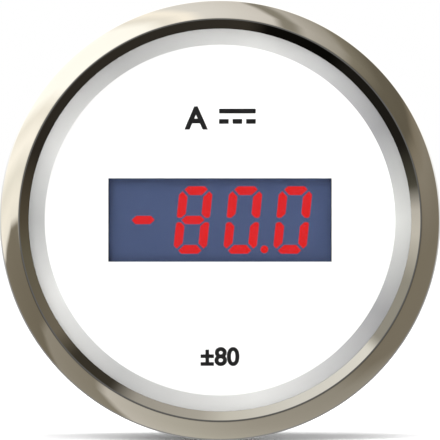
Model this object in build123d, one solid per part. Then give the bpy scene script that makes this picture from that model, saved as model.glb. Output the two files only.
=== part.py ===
"""Round digital ammeter for an instrument panel, as an assembly of separate parts.

The gauge drops into a 52 mm hole from the front. Its bezel seats on the panel, and a U-shaped
clamp behind it is drawn up on two M4 studs by knurled nuts. Inside are a four-digit display on
a front board, a light box behind the dial, and a rear board with the two plug headers.

Frame, in millimetres: the origin is the centre of the seat on the panel's front face. +Z is up,
the dial faces -Y, and depths behind the seat are positive Y. Left and right are as a reader of
the dial sees them, so left is -X.
"""

from build123d import *
from math import cos, sin, sqrt, tau
import os

# ---- Driving dimensions -----------------------------------------------------------------------

# Panel and barrel
cutout_diameter = 52.0
barrel_clearance = 0.25
barrel_length = 38.0
wall = 1.55
rear_wall = 2.0
rear_edge_chamfer = 0.8
panel_thickness = 3.0
thinnest_panel = 1.0

# Front of the case
flange_overhang = 4.25
gasket_thickness = 1.0
gasket_gap = 0.95
gasket_inset = 0.6
floor_thickness = 1.2
rim_clearance = 0.35
flange_corner = 0.5
ledge_width = 1.5
seat_step = 0.15
tongue_thickness = 0.7
tongue_depth = 0.8

# Bezel
sheet = 0.5
sheet_gap = 0.1
hem_width = 2.4
hem_bend = 0.9
band_width = 2.7
band_rise = 3.2
band_knee_in = 0.9
band_knee_rise = 1.7
shoulder_radius = 2.0
knee_radius = 5.0
crest_radius = 0.35
funnel_width = 1.3
funnel_depth = 0.9

# Lens, its seals and the ring between lens and dial
lens_thickness = 1.8
lens_overlap = 1.7
lens_clearance = 0.1
lens_chamfer = 0.2
lens_gasket_thickness = 0.5
bezel_seal_thickness = 0.3
trim_height = 1.65
trim_foot = 0.25
trim_width = 2.1
trim_clearance = 0.05
lens_gap = 0.05

# Dial and display window
dial_thickness = 0.5
dial_clearance = 0.15
peg_radius = 0.5
peg_clearance = 0.1
window_width = 30.46
window_height = 11.39
window_clearance = 0.03
window_lip = 1.3
window_lip_thickness = 0.8
window_corner = 0.15

# Four-digit display
display_width = 30.2
display_height = 14.0
display_depth = 6.9
display_gap = 0.1
digit_height = 9.3
digit_width = 4.65
digit_pitch = 6.80
digit_slant = 0.105
digits_offset = -0.28
segment_bar = 1.3
segment_gap = 0.24
segment_corner = 1.0
middle_gap = 0.5
middle_shelf = 0.72
middle_tip_inset = 0.68
middle_bar = 1.24
segment_depth = 0.4
point_radius = 0.58
point_offset = 3.35
reading = ("g", "abcdefg", "abcdef.", "abcdef")
display_pin = 0.5
display_pins_per_row = 6
display_pin_pitch = 2.54
display_pin_inset = 1.4
pin_stickout = 1.0

# Light guide and light box
guide_thickness = 3.0
guide_clearance = 0.2
box_wall = 1.4
box_rib = 1.2
led_width = 3.5
led_height = 2.8
led_depth = 1.9
led_lens_radius = 1.1
led_lens_depth = 0.2

# Boards
board_thickness = 1.6
board_clearance = 0.4
pin_hole_clearance = 0.15

# Parts on the boards
lead_width = 0.4
lead_arm = 0.4
lead_foot = 0.25
lead_stand_off = 0.15
chip_resistor_size = (2.0, 1.25, 0.55)
led_beside_z = 5.0
led_above_x = 5.2
led_above_gap = 3.5
driver_size = (15.4, 7.5, 2.3)
driver_leads = 12
driver_span = 10.3
driver_gap = 6.0
resistor_count = 8
resistor_pitch = 2.6
controller_size = (7.0, 7.0, 1.4)
controller_leads = 8
controller_span = 9.0
controller_place = (-9.5, 2.0)
pin_one_place = (-12.0, 4.4)
pin_one_radius = 0.5
pin_one_depth = 0.1
crystal_size = (11.0, 4.6, 3.5)
crystal_place = (-10.0, -5.6)
crystal_edge = 0.5
amplifier_size = (4.9, 3.9, 1.5)
amplifier_leads = 4
amplifier_span = 6.0
amplifier_place = (-1.5, 9.0)
regulator_size = (6.6, 6.2, 2.3)
regulator_place = (9.5, -4.0)
regulator_tab = (5.4, 1.6, 0.5)
capacitor_radius = 3.15
capacitor_height = 7.7
capacitor_base = 6.6
capacitor_base_height = 1.0
capacitor_edge = 0.4
upper_capacitor_place = (7.6, 8.4)
lower_capacitor_inset = 7.2
lower_capacitor_z = -6.6
inductor_size = (7.0, 7.0, 4.0)
inductor_inset = 7.0
inductor_z = 3.2
inductor_groove = (2.2, 2.6, 0.3)
suppressor_size = (7.0, 6.0, 2.3)
suppressor_inset = 7.0
suppressor_z = 4.8
passive_columns = (-2.4, 0.6, 3.6)
passive_rows = (-6.0, -3.5, -1.0, 1.5)

# Standoffs, their screws and the case bosses that take them
standoff_across = 5.0
standoff_boss_radius = 3.2
standoff_boss_height = 6.0
standoff_margin = 1.0
standoff_header_gap = 0.6
standoff_thread = 1.2
standoff_thread_length = 5.5
standoff_bore_depth = 6.5
thread_clearance = 0.05
board_hole_clearance = 0.15
screw_head_radius = 2.2
screw_head_height = 1.5
screw_length = 5.0
cross_width = 0.6
cross_length = 2.4
cross_depth = 0.8

# Pins between the boards
link_count = 8
link_pitch = 2.54
link_pin = 0.64
link_margin = 1.4
link_insulator = 2.5
link_stickout = 0.4

# Plug headers
header_height = 8.0
header_wall = 1.1
header_corner = 1.0
header_reach = 8.0
header_cavity_depth = 12.3
header_flange = 1.5
header_flange_thickness = 1.5
header_seal_thickness = 1.0
header_hole_clearance = 0.2
header_margin = 1.0
header_end_room = 0.4
contact = 1.0
contact_pitch = 3.5
contact_recess = 5.2
power_contacts_count = 4
sensor_contacts_count = 3
latch_width = 3.6
latch_length = 3.0
latch_height = 0.9
skirt_width = 1.3
skirt_height = 1.2

# Mounting studs and clamp
stud_radius = 2.0
stud_pitch = 0.7
stud_spacing = 31.0
stud_reach = 21.5
stud_chamfer = 0.5
head_across = 7.0
head_height = 2.8
head_clearance = 0.1
head_floor = 2.0
stud_boss_radius = 5.0
stud_boss_height = 1.0
clamp_sheet = 1.5
clamp_width = 12.0
clamp_bend = 3.5
clamp_leg_clearance = 1.15
clamp_rear_gap = 0.5
clamp_hole_clearance = 0.25
clamp_foot_corner = 1.5
bead_length = 15.0
bead_width = 5.0
bead_height = 0.9

# Washers and knurled nuts
washer_radius = 4.5
washer_thickness = 0.8
washer_clearance = 0.15
spring_radius = 3.9
spring_thickness = 1.0
spring_slit = 0.6
nut_collar_radius = 3.7
nut_collar_height = 2.8
nut_radius = 5.6
nut_height = 4.2
nut_chamfer = 0.5
knurl_count = 36
knurl_depth = 0.35

# ---- Depths and radii that follow -------------------------------------------------------------

barrel_radius = cutout_diameter / 2 - barrel_clearance
bore_radius = barrel_radius - wall
bezel_radius = barrel_radius + flange_overhang
flange_radius = bezel_radius - sheet - sheet_gap
crest_line = bezel_radius - band_width
view_radius = crest_line - funnel_width
lens_radius = view_radius + lens_overlap
pocket_radius = lens_radius + lens_clearance
cup_radius = pocket_radius - ledge_width
hem_radius = bezel_radius - hem_width

bezel_rear = -gasket_thickness
floor_face = bezel_rear - floor_thickness
dial_face = floor_face - dial_thickness
trim_top = dial_face - trim_height
lens_rear = trim_top - lens_gap
ledge_face = lens_rear + lens_gasket_thickness
lens_front = lens_rear - lens_thickness
rim_front = lens_front + seat_step
lip_rear = lens_front - bezel_seal_thickness
crest_front = lip_rear - funnel_depth
shoulder = crest_front + band_rise

case_rear = barrel_length
case_floor = case_rear - rear_wall
window_rear = floor_face + window_lip_thickness
display_front = window_rear + display_gap
front_board_front = display_front + display_depth
front_board_rear = front_board_front + board_thickness
rear_board_rear = case_floor - standoff_boss_height
rear_board_front = rear_board_rear - board_thickness
guide_rear = floor_face + guide_thickness
board_radius = bore_radius - board_clearance
guide_radius = bore_radius - guide_clearance

header_mouth = case_rear + header_reach
header_floor = header_mouth - header_cavity_depth
header_flange_rear = case_floor - header_seal_thickness
contact_tip = header_mouth - contact_recess

strap_front = case_rear + stud_boss_height + clamp_rear_gap + panel_thickness - thinnest_panel
strap_rear = strap_front + clamp_sheet
leg_inside = barrel_radius + clamp_leg_clearance
stud_x = stud_spacing / 2
head_seat = case_rear - rear_wall - head_floor
stud_end = case_rear + stud_reach


def header_width(contacts):
    """Outer width of a plug header with this many contacts in a row."""
    return contacts * contact_pitch + 2 * (header_wall + header_end_room)


def header_drop(contacts):
    """Distance of a header's centre from the axis, with its flange just inside the bore."""
    half = header_width(contacts) / 2 + header_flange
    return sqrt((bore_radius - header_margin) ** 2 - half**2) - header_height / 2 - header_flange


def header_row(contacts):
    """Places of a header's contacts along its width."""
    return [(i - (contacts - 1) / 2) * contact_pitch for i in range(contacts)]


power_z = -header_drop(power_contacts_count)
sensor_z = header_drop(sensor_contacts_count)
link_z = power_z + header_height / 2 + link_margin

standoff_circle = bore_radius - standoff_boss_radius - standoff_margin
standoff_x = header_width(power_contacts_count) / 2 + header_flange + standoff_boss_radius
standoff_x += standoff_header_gap
standoff_z = sqrt(standoff_circle**2 - standoff_x**2)
standoff_places = [(sx * standoff_x, sz * standoff_z) for sx in (-1, 1) for sz in (-1, 1)]
stud_places = {"left": -stud_x, "right": stud_x}


# ---- Shapes that several parts use --------------------------------------------------------------


def across(depth):
    """The plane across the gauge's axis at a depth, facing the reader, with local (x, z)."""
    return Plane(origin=(0, depth, 0), x_dir=(1, 0, 0), z_dir=(0, -1, 0))


def slab(outline, front, back):
    """A flat outline given in (x, z), filled from depth front to depth back."""
    return extrude(across(back) * outline, amount=back - front)


def turned(*corners):
    """A solid of revolution about the gauge's axis, from corners given as (radius, depth)."""
    return revolve(make_face(Polyline(*corners, close=True)), axis=Axis.Y)


def ring(inner, outer, front, back):
    """A flat ring about the gauge's axis."""
    return turned((inner, front), (outer, front), (outer, back), (inner, back))


def rod(radius, x, z, front, back):
    """A round bar along the axis's direction."""
    return slab(Pos(x, z) * Circle(radius), front, back)


def block(width, height, x, z, front, back):
    """A rectangular bar along the axis's direction."""
    return slab(Pos(x, z) * Rectangle(width, height), front, back)


def hexagon(across_flats, x, z):
    """A hexagon with a corner up, as an outline."""
    return Pos(x, z) * RegularPolygon(across_flats / 2, 6, major_radius=False, rotation=30)


def cut_corner(before, corner, after, distance):
    """The corner of a path moved sideways, to the right of its travel, by distance."""
    moved = []
    for start, end in ((before, corner), (corner, after)):
        dx, dy = end[0] - start[0], end[1] - start[1]
        length = sqrt(dx * dx + dy * dy)
        moved.append((start[0] + dy / length * distance, start[1] - dx / length * distance, dx, dy))
    (ax, ay, adx, ady), (bx, by, bdx, bdy) = moved
    step = ((bx - ax) * bdy - (by - ay) * bdx) / (adx * bdy - ady * bdx)
    return (ax + step * adx, ay + step * ady)


def strip(points, radii, thickness):
    """The outline of a bent sheet: its outer skin runs through points with the given outside
    bend radii, and its thickness lies to the right of the travel."""
    ends = []
    for at, toward in ((0, 1), (-1, -2)):
        side = 1 if at == 0 else -1
        dx = (points[toward][0] - points[at][0]) * side
        dy = (points[toward][1] - points[at][1]) * side
        length = sqrt(dx * dx + dy * dy)
        ends.append((points[at][0] + dy / length * thickness, points[at][1] - dx / length * thickness))
    inner = [ends[0]]
    for before, corner, after in zip(points, points[1:], points[2:]):
        inner.append(cut_corner(before, corner, after, thickness))
    inner.append(ends[1])
    smallest_inside_bend = 0.05
    inside_radii = [max(radius - thickness, smallest_inside_bend) for radius in radii]
    outer_path = FilletPolyline(*points, radius=radii)
    inner_path = FilletPolyline(*inner, radius=inside_radii)
    caps = [Line(points[0], inner[0]), Line(points[-1], inner[-1])]
    return make_face(outer_path.edges() + inner_path.edges() + caps)


def gather(solids):
    """Several separate solids as the one shape of a node."""
    return Compound(children=[solid for shape in solids for solid in shape.solids()])


# ---- Front of the gauge -------------------------------------------------------------------------


def bezel():
    """Polished ring of bent sheet, rolled under the case's flange. It rises from the rim to a
    crest and falls in a funnel to the lens, where its edge is ground flat."""
    skin = [
        (hem_radius, bezel_rear),
        (bezel_radius, bezel_rear),
        (bezel_radius, shoulder),
        (bezel_radius - band_knee_in, shoulder - band_knee_rise),
        (crest_line, crest_front),
        (view_radius, lip_rear),
    ]
    bends = [hem_bend, shoulder_radius, knee_radius, crest_radius]
    mirrored_skin = [(radius, -depth) for radius, depth in skin]
    section = mirror(strip(mirrored_skin[::-1], bends[::-1], sheet), about=Plane.XZ)
    land = ring(view_radius - sheet, crest_line, lip_rear, lens_rear)
    return revolve(section, axis=Axis.Y) - land


def bezel_seal():
    """Thin ring that keeps the bezel's edge off the glass."""
    return ring(view_radius, cup_radius + ledge_width / 2, lip_rear, lens_front)


def lens():
    """Flat glass disc with its edges broken."""
    inner = lens_radius - lens_chamfer
    return turned(
        (0, lens_front),
        (inner, lens_front),
        (lens_radius, lens_front + lens_chamfer),
        (lens_radius, lens_rear - lens_chamfer),
        (inner, lens_rear),
        (0, lens_rear),
    )


def lens_gasket():
    """Rubber ring under the edge of the glass."""
    return ring(cup_radius, lens_radius - lens_chamfer, lens_rear, ledge_face)


def trim_ring():
    """Satin ring between the dial and the lens, sloping in to the dial."""
    inner = view_radius - trim_width
    outer = cup_radius - trim_clearance
    return turned(
        (inner, dial_face),
        (outer, dial_face),
        (outer, trim_top),
        (view_radius + trim_clearance, trim_top),
        (inner, dial_face - trim_foot),
    )


def peg_places():
    """The two places of the pegs that stop the dial turning, under the trim ring."""
    radius = (bore_radius + cup_radius) / 2
    return [(-radius, 0), (radius, 0)]


def dial():
    """White plate with the display's opening and two peg holes."""
    plate = slab(Circle(cup_radius - dial_clearance), dial_face, floor_face)
    plate -= block(window_width, window_height, 0, 0, dial_face, floor_face)
    for x, z in peg_places():
        plate -= rod(peg_radius + peg_clearance, x, z, dial_face, floor_face)
    return plate


def display_window():
    """Pane flush with the dial, with a wider lip glued behind it."""
    pane = slab(
        RectangleRounded(
            window_width - 2 * window_clearance, window_height - 2 * window_clearance, window_corner
        ),
        dial_face,
        floor_face,
    )
    lip = block(
        window_width + 2 * window_lip, window_height + 2 * window_lip, 0, 0, floor_face, window_rear
    )
    return pane + lip


def light_guide():
    """Clear disc that carries the back light to the dial."""
    disc = slab(Circle(guide_radius), floor_face, guide_rear)
    return disc - block(
        window_width + 2 * window_lip + 2 * guide_clearance,
        max(window_height + 2 * window_lip, display_height) + 2 * guide_clearance,
        0,
        0,
        floor_face,
        guide_rear,
    )


def light_box():
    """White frame that spaces the light guide from the front board and boxes in the display."""
    front, back = guide_rear, front_board_front
    inside = guide_radius - box_wall
    frame_x = display_width / 2 + guide_clearance
    frame_z = display_height / 2 + guide_clearance
    body = ring(inside, guide_radius, front, back)
    body += block(2 * (frame_x + box_wall), 2 * (frame_z + box_wall), 0, 0, front, back)
    reach_x = inside - frame_x
    reach_z = inside - frame_z
    for side in (-1, 1):
        body += block(reach_x, box_rib, side * (frame_x + reach_x / 2), 0, front, back)
        body += block(box_rib, reach_z, 0, side * (frame_z + reach_z / 2), front, back)
    return body - block(2 * frame_x, 2 * frame_z, 0, 0, front, back)


# ---- Display ------------------------------------------------------------------------------------


def slanted(x, z):
    """A point of an upright digit moved as the digit leans."""
    return (x + z * digit_slant, z)


def upper_side_segment():
    """The upper right segment of an upright digit. It is mitred at the digit's corner, and its
    lower end is cut back for the middle segment."""
    w, h = digit_width / 2, digit_height / 2
    tip, cut, bottom = segment_corner / 2, segment_gap / sqrt(2), middle_gap / 2
    inside = w - segment_bar
    return [
        (w, h - segment_corner - cut),
        (w - tip, h - tip - cut),
        (inside, h - segment_bar - cut),
        (inside, bottom + segment_bar - middle_shelf),
        (w - middle_shelf, bottom),
        (w - segment_corner / 4, bottom),
        (w, bottom + segment_corner / 4),
    ]


def top_segment():
    """The top segment of an upright digit, mitred at both of the digit's corners."""
    w, h = digit_width / 2, digit_height / 2
    tip, cut = segment_corner / 2, segment_gap / sqrt(2)
    right = [
        (w - segment_corner - cut, h),
        (w - tip - cut, h - tip),
        (w - segment_bar - cut, h - segment_bar),
    ]
    return right + [(-x, z) for x, z in reversed(right)]


def middle_segment():
    """The middle segment, with a point at each end."""
    tip = digit_width / 2 - middle_tip_inset
    half = middle_bar / 2
    right = [(tip - half, half), (tip, 0), (tip - half, -half)]
    return right + [(-x, z) for x, z in reversed(right)]


def segment_outlines():
    """Outlines of one digit's segments by letter, about the digit's own centre."""
    upright = {"a": top_segment(), "b": upper_side_segment(), "g": middle_segment()}
    upright["c"] = [(x, -z) for x, z in upright["b"]]
    upright["d"] = [(x, -z) for x, z in upright["a"]]
    upright["e"] = [(-x, -z) for x, z in upright["b"]]
    upright["f"] = [(-x, z) for x, z in upright["b"]]
    found = {
        name: make_face(Polyline(*[slanted(x, z) for x, z in corners], close=True))
        for name, corners in upright.items()
    }
    point_x, point_z = slanted(point_offset, (segment_bar - digit_height) / 2)
    found["."] = Pos(point_x, point_z) * Circle(point_radius)
    return found


def segments(lit):
    """The lit or the unlit segments of all the digits, filled into the display's face."""
    outlines = segment_outlines()
    centre = (len(reading) - 1) / 2
    found = []
    for place, shown in enumerate(reading):
        x = digits_offset + (place - centre) * digit_pitch
        for name, outline in outlines.items():
            if (name in shown) == lit:
                found.append(
                    slab(Pos(x, 0) * outline, display_front, display_front + segment_depth)
                )
    return gather(found)


def display_pin_places():
    """Places of the display's two rows of pins."""
    z = display_height / 2 - display_pin_inset
    middle = (display_pins_per_row - 1) / 2
    xs = [(i - middle) * display_pin_pitch for i in range(display_pins_per_row)]
    return [(x, side * z) for side in (-1, 1) for x in xs]


def display_body():
    """The display's block, with a pocket for each segment."""
    body = block(display_width, display_height, 0, 0, display_front, front_board_front)
    for segment in segments(True).solids() + segments(False).solids():
        body -= segment
    return body


def display_pins():
    """Square pins from the display through the front board."""
    end = front_board_rear + pin_stickout
    return gather(
        [block(display_pin, display_pin, x, z, front_board_front, end) for x, z in display_pin_places()]
    )


# ---- Front board --------------------------------------------------------------------------------


def link_places():
    """Places of the pins between the two boards."""
    middle = (link_count - 1) / 2
    return [((i - middle) * link_pitch, link_z) for i in range(link_count)]


def holes(places, radius, front, back):
    """Round holes at several places, as one shape to cut away."""
    return gather([rod(radius, x, z, front, back) for x, z in places])


def drilled(board, places, radius, front, back):
    """A board less a round hole at each place."""
    for hole in holes(places, radius, front, back).solids():
        board -= hole
    return board


def square_pin_hole(side):
    """Radius of the drilled hole that passes a square pin."""
    return side / 2 * sqrt(2) + pin_hole_clearance


def front_board():
    """Round board that carries the display and the dial's lamps."""
    front, back = front_board_front, front_board_rear
    board = slab(Circle(board_radius), front, back)
    board = drilled(board, display_pin_places(), square_pin_hole(display_pin), front, back)
    board = drilled(board, link_places(), square_pin_hole(link_pin), front, back)
    return drilled(board, standoff_places, standoff_thread + board_hole_clearance, front, back)


def led_places():
    """Places of the dial's lamps, above, below and beside the display."""
    beside_x = (display_width / 2 + guide_radius) / 2
    above_z = display_height / 2 + guide_clearance + box_wall + led_height + led_above_gap
    corners = [(sx, sz) for sx in (-1, 1) for sz in (-1, 1)]
    places = [(sx * beside_x, sz * led_beside_z) for sx, sz in corners]
    return places + [(sx * led_above_x, sz * above_z) for sx, sz in corners]


def backlight_leds():
    """Surface lamps with a small round lens, on the front board's face."""
    found = []
    for x, z in led_places():
        top = front_board_front - led_depth
        lamp = block(led_width, led_height, x, z, top, front_board_front)
        found.append(lamp + rod(led_lens_radius, x, z, top - led_lens_depth, top))
    return gather(found)


def flat_pack(size, leads, lead_span, place, face, side):
    """A chip of (width, height, thickness) with leads along its two long edges, standing on a
    board's face. side is +1 behind the board and -1 in front of it."""
    width, height, thickness = size
    x, z = place
    near = face + side * lead_stand_off
    far = near + side * thickness
    chip = block(width, height, x, z, min(near, far), max(near, far))
    middle = near + side * thickness / 2
    for i in range(leads):
        lead_x = x + (i - (leads - 1) / 2) * width / leads
        for edge in (-1, 1):
            foot_z = z + edge * (height + lead_span) / 4
            foot_height = (lead_span - height) / 2
            ends = (face, face + side * lead_foot)
            chip += block(lead_width, foot_height, lead_x, foot_z, min(ends), max(ends))
            arm_z = z + edge * (height + lead_arm) / 2
            ends = (face, middle)
            chip += block(lead_width, lead_arm, lead_x, arm_z, min(ends), max(ends))
    return chip


def chip_resistor(x, z, face, side):
    """A small flat resistor on a board's face."""
    length, width, thickness = chip_resistor_size
    ends = (face, face + side * thickness)
    return block(length, width, x, z, min(ends), max(ends))


def display_driver():
    """Driver chip behind the front board, above the display's pins."""
    place = (0, display_height / 2 + driver_gap)
    return flat_pack(driver_size, driver_leads, driver_span, place, front_board_rear, 1)


def segment_resistors():
    """Row of resistors behind the display."""
    middle = (resistor_count - 1) / 2
    places = [(i - middle) * resistor_pitch for i in range(resistor_count)]
    return gather([chip_resistor(x, 0, front_board_rear, 1) for x in places])


def board_screws():
    """Pan-head screws with a cross recess, through the front board into the standoffs."""
    found = []
    for x, z in standoff_places:
        top = front_board_front - screw_head_height
        screw = rod(screw_head_radius, x, z, top, front_board_front)
        screw = chamfer(screw.edges().group_by(Axis.Y)[0], screw_head_height / 3)
        screw += rod(standoff_thread, x, z, front_board_front, front_board_rear + screw_length)
        for width, height in ((cross_width, cross_length), (cross_length, cross_width)):
            screw -= block(width, height, x, z, top, top + cross_depth)
        found.append(screw)
    return gather(found)


def standoffs():
    """Hexagonal pillars that hold the boards apart and screw into the case's bosses."""
    found = []
    bore = standoff_thread + thread_clearance
    for x, z in standoff_places:
        pillar = slab(hexagon(standoff_across, x, z), front_board_rear, rear_board_front)
        pillar += rod(
            standoff_thread, x, z, rear_board_front, rear_board_rear + standoff_thread_length
        )
        pillar -= rod(bore, x, z, front_board_rear, front_board_rear + standoff_bore_depth)
        found.append(pillar)
    return gather(found)


def link_pins():
    """Square pins that join the two boards."""
    front = front_board_front - link_stickout
    back = rear_board_rear + link_stickout
    return gather([block(link_pin, link_pin, x, z, front, back) for x, z in link_places()])


def link_insulators():
    """The two plastic strips that hold the link pins in line, one against each board."""
    width = link_count * link_pitch
    found = []
    for front in (front_board_rear, rear_board_front - link_insulator):
        strip_body = block(width, link_pitch, 0, link_z, front, front + link_insulator)
        for pin in link_pins().solids():
            strip_body -= pin
        found.append(strip_body)
    return gather(found)


# ---- Rear board ---------------------------------------------------------------------------------


def rear_board():
    """Round board for supply, sensing and the two headers."""
    front, back = rear_board_front, rear_board_rear
    board = slab(Circle(board_radius), front, back)
    contacts = [(x, power_z) for x in header_row(power_contacts_count)]
    contacts += [(x, sensor_z) for x in header_row(sensor_contacts_count)]
    board = drilled(board, contacts, square_pin_hole(contact), front, back)
    board = drilled(board, link_places(), square_pin_hole(link_pin), front, back)
    return drilled(board, standoff_places, standoff_thread + board_hole_clearance, front, back)


def on_rear_board(size, place):
    """A block of (width, height, thickness) standing on the front face of the rear board."""
    width, height, thickness = size
    return block(width, height, *place, rear_board_front - thickness, rear_board_front)


def microcontroller():
    """Square chip with leads on two edges and a pin-one dimple."""
    chip = flat_pack(
        controller_size, controller_leads, controller_span, controller_place, rear_board_front, -1
    )
    top = rear_board_front - controller_size[2] - lead_stand_off
    return chip - rod(pin_one_radius, *pin_one_place, top, top + pin_one_depth)


def crystal():
    """Low metal can of the clock crystal."""
    length, width, height = crystal_size
    outline = Pos(*crystal_place) * SlotOverall(length, width)
    can = slab(outline, rear_board_front - height, rear_board_front)
    return fillet(can.edges().group_by(Axis.Y)[0], crystal_edge)


def sense_amplifier():
    """Eight-lead amplifier for the current sensor's signal."""
    return flat_pack(
        amplifier_size, amplifier_leads, amplifier_span, amplifier_place, rear_board_front, -1
    )


def voltage_regulator():
    """Regulator with its metal tab soldered down."""
    x, z = regulator_place
    tab_z = z + (regulator_size[1] + regulator_tab[1]) / 2
    return on_rear_board(regulator_size, (x, z)) + on_rear_board(regulator_tab, (x, tab_z))


def capacitor_can(place):
    """Round electrolytic capacitor on its square base."""
    base_top = rear_board_front - capacitor_base_height
    can = rod(capacitor_radius, *place, rear_board_front - capacitor_height, base_top)
    can = fillet(can.edges().group_by(Axis.Y)[0], capacitor_edge)
    return can + on_rear_board((capacitor_base, capacitor_base, capacitor_base_height), place)


def electrolytic_capacitors():
    """The supply's two storage capacitors."""
    lower = (board_radius - lower_capacitor_inset, lower_capacitor_z)
    return gather([capacitor_can(upper_capacitor_place), capacitor_can(lower)])


def power_inductor():
    """Shielded square inductor with a round core showing."""
    x, z = board_radius - inductor_inset, inductor_z
    inner, outer, depth = inductor_groove
    top = rear_board_front - inductor_size[2]
    return on_rear_board(inductor_size, (x, z)) - Pos(x, 0, z) * ring(inner, outer, top, top + depth)


def surge_suppressor():
    """Flat diode that soaks up surges on the supply."""
    return on_rear_board(suppressor_size, (suppressor_inset - board_radius, suppressor_z))


def rear_passives():
    """Small resistors and capacitors in the middle of the rear board."""
    places = [(x, z) for x in passive_columns for z in passive_rows]
    return gather([chip_resistor(x, z, rear_board_front, -1) for x, z in places])


# ---- Plug headers -------------------------------------------------------------------------------


def contacts(count, z):
    """A header's square contacts, with tails through the rear board."""
    front = rear_board_front - pin_stickout
    return gather([block(contact, contact, x, z, front, contact_tip) for x in header_row(count)])


def header(count, z):
    """A plug header: a shroud open to the rear, with a sealing flange inside the case and a
    ramp on the side away from the clamp for the plug's latch."""
    width = header_width(count)
    inner_width, inner_height = width - 2 * header_wall, header_height - 2 * header_wall
    outline = Pos(0, z) * RectangleRounded(width, header_height, header_corner)
    body = slab(outline, rear_board_rear, header_mouth)
    body += block(
        width + 2 * header_flange,
        header_height + 2 * header_flange,
        0,
        z,
        header_flange_rear - header_flange_thickness,
        header_flange_rear,
    )
    body -= slab(
        Pos(0, z) * RectangleRounded(inner_width, inner_height, header_corner / 2),
        header_floor,
        header_mouth,
    )
    away = 1 if z > 0 else -1
    edge = z + away * header_height / 2
    ramp = Polyline(
        (header_mouth, edge),
        (header_mouth - latch_length, edge + away * latch_height),
        (header_mouth - latch_length, edge),
        close=True,
    )
    body += extrude(Plane.YZ * make_face(ramp), amount=latch_width / 2, both=True)
    for pin in contacts(count, z).solids():
        body -= pin
    return body


def header_seal(count, z):
    """Rubber frame between a header's flange and the case's rear wall."""
    width = header_width(count)
    outer = block(
        width + 2 * header_flange,
        header_height + 2 * header_flange,
        0,
        z,
        header_flange_rear,
        case_floor,
    )
    hole = slab(
        Pos(0, z) * RectangleRounded(width, header_height, header_corner),
        header_flange_rear,
        case_floor,
    )
    return outer - hole


# ---- Case ---------------------------------------------------------------------------------------


def front_frame():
    """Flanged front of the housing. It carries the dial, the lens and the bezel, and the barrel's
    tongue is welded into its rear face."""
    tongue_radius = bore_radius + tongue_thickness
    tongue_end = bezel_rear - tongue_depth
    boss_radius = hem_radius - sheet_gap
    flange_rear = bezel_rear - sheet - sheet_gap / 2
    body = turned(
        (bore_radius, floor_face),
        (bore_radius, tongue_end),
        (tongue_radius, tongue_end),
        (tongue_radius, bezel_rear),
        (boss_radius, bezel_rear),
        (boss_radius, flange_rear),
        (flange_radius - flange_corner, flange_rear),
        (flange_radius, flange_rear - flange_corner),
        (flange_radius, shoulder + rim_clearance),
        (pocket_radius, rim_front),
        (pocket_radius, ledge_face),
        (cup_radius, ledge_face),
        (cup_radius, floor_face),
    )
    for x, z in peg_places():
        body += rod(peg_radius, x, z, dial_face, floor_face)
    return body


def case_shell():
    """The turned shape of the case: a barrel behind the panel, closed at the rear."""
    tongue_radius = bore_radius + tongue_thickness
    tongue_end = bezel_rear - tongue_depth
    return turned(
        (0, case_rear),
        (barrel_radius - rear_edge_chamfer, case_rear),
        (barrel_radius, case_rear - rear_edge_chamfer),
        (barrel_radius, bezel_rear),
        (tongue_radius, bezel_rear),
        (tongue_radius, tongue_end),
        (bore_radius, tongue_end),
        (bore_radius, case_floor),
        (0, case_floor),
    )


def header_skirt(count, z):
    """Raised frame round a header's hole on the rear wall."""
    gap = header_hole_clearance + skirt_width
    return slab(
        Pos(0, z)
        * RectangleRounded(
            header_width(count) + 2 * gap, header_height + 2 * gap, header_corner + gap
        ),
        case_rear,
        case_rear + skirt_height,
    )


def header_hole(count, z):
    """The hole for a header, through the rear wall and its skirt."""
    gap = header_hole_clearance
    return slab(
        Pos(0, z)
        * RectangleRounded(
            header_width(count) + 2 * gap, header_height + 2 * gap, header_corner + gap
        ),
        case_floor,
        case_rear + skirt_height,
    )


def case():
    """Black moulded case, with bosses for the studs and standoffs."""
    body = case_shell()
    inside_boss = head_seat - head_height
    for x in stud_places.values():
        body += rod(stud_boss_radius, x, 0, inside_boss, case_rear + stud_boss_height)
    for x, z in standoff_places:
        body += rod(standoff_boss_radius, x, z, rear_board_rear, case_floor)
    for count, z in ((power_contacts_count, power_z), (sensor_contacts_count, sensor_z)):
        body += header_skirt(count, z)
        body -= header_hole(count, z)
    for x in stud_places.values():
        pocket = hexagon(head_across + 2 * head_clearance, x, 0)
        body -= slab(pocket, inside_boss, head_seat)
        body -= rod(stud_radius + head_clearance, x, 0, head_seat, case_rear + stud_boss_height)
    for x, z in standoff_places:
        body -= rod(
            standoff_thread + thread_clearance,
            x,
            z,
            rear_board_rear,
            rear_board_rear + standoff_thread_length,
        )
    return body


def panel_gasket():
    """Rubber ring between the bezel and the panel."""
    return ring(barrel_radius + gasket_gap, bezel_radius - gasket_inset, bezel_rear, 0)


# ---- Mounting hardware --------------------------------------------------------------------------


def stud(x):
    """M4 stud with a hexagon head inside the case. Its thread is drawn as a plain shank."""
    body = slab(hexagon(head_across, x, 0), head_seat - head_height, head_seat)
    shank = rod(stud_radius, x, 0, head_seat, stud_end)
    return body + chamfer(shank.edges().group_by(Axis.Y)[-1], stud_chamfer)


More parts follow.
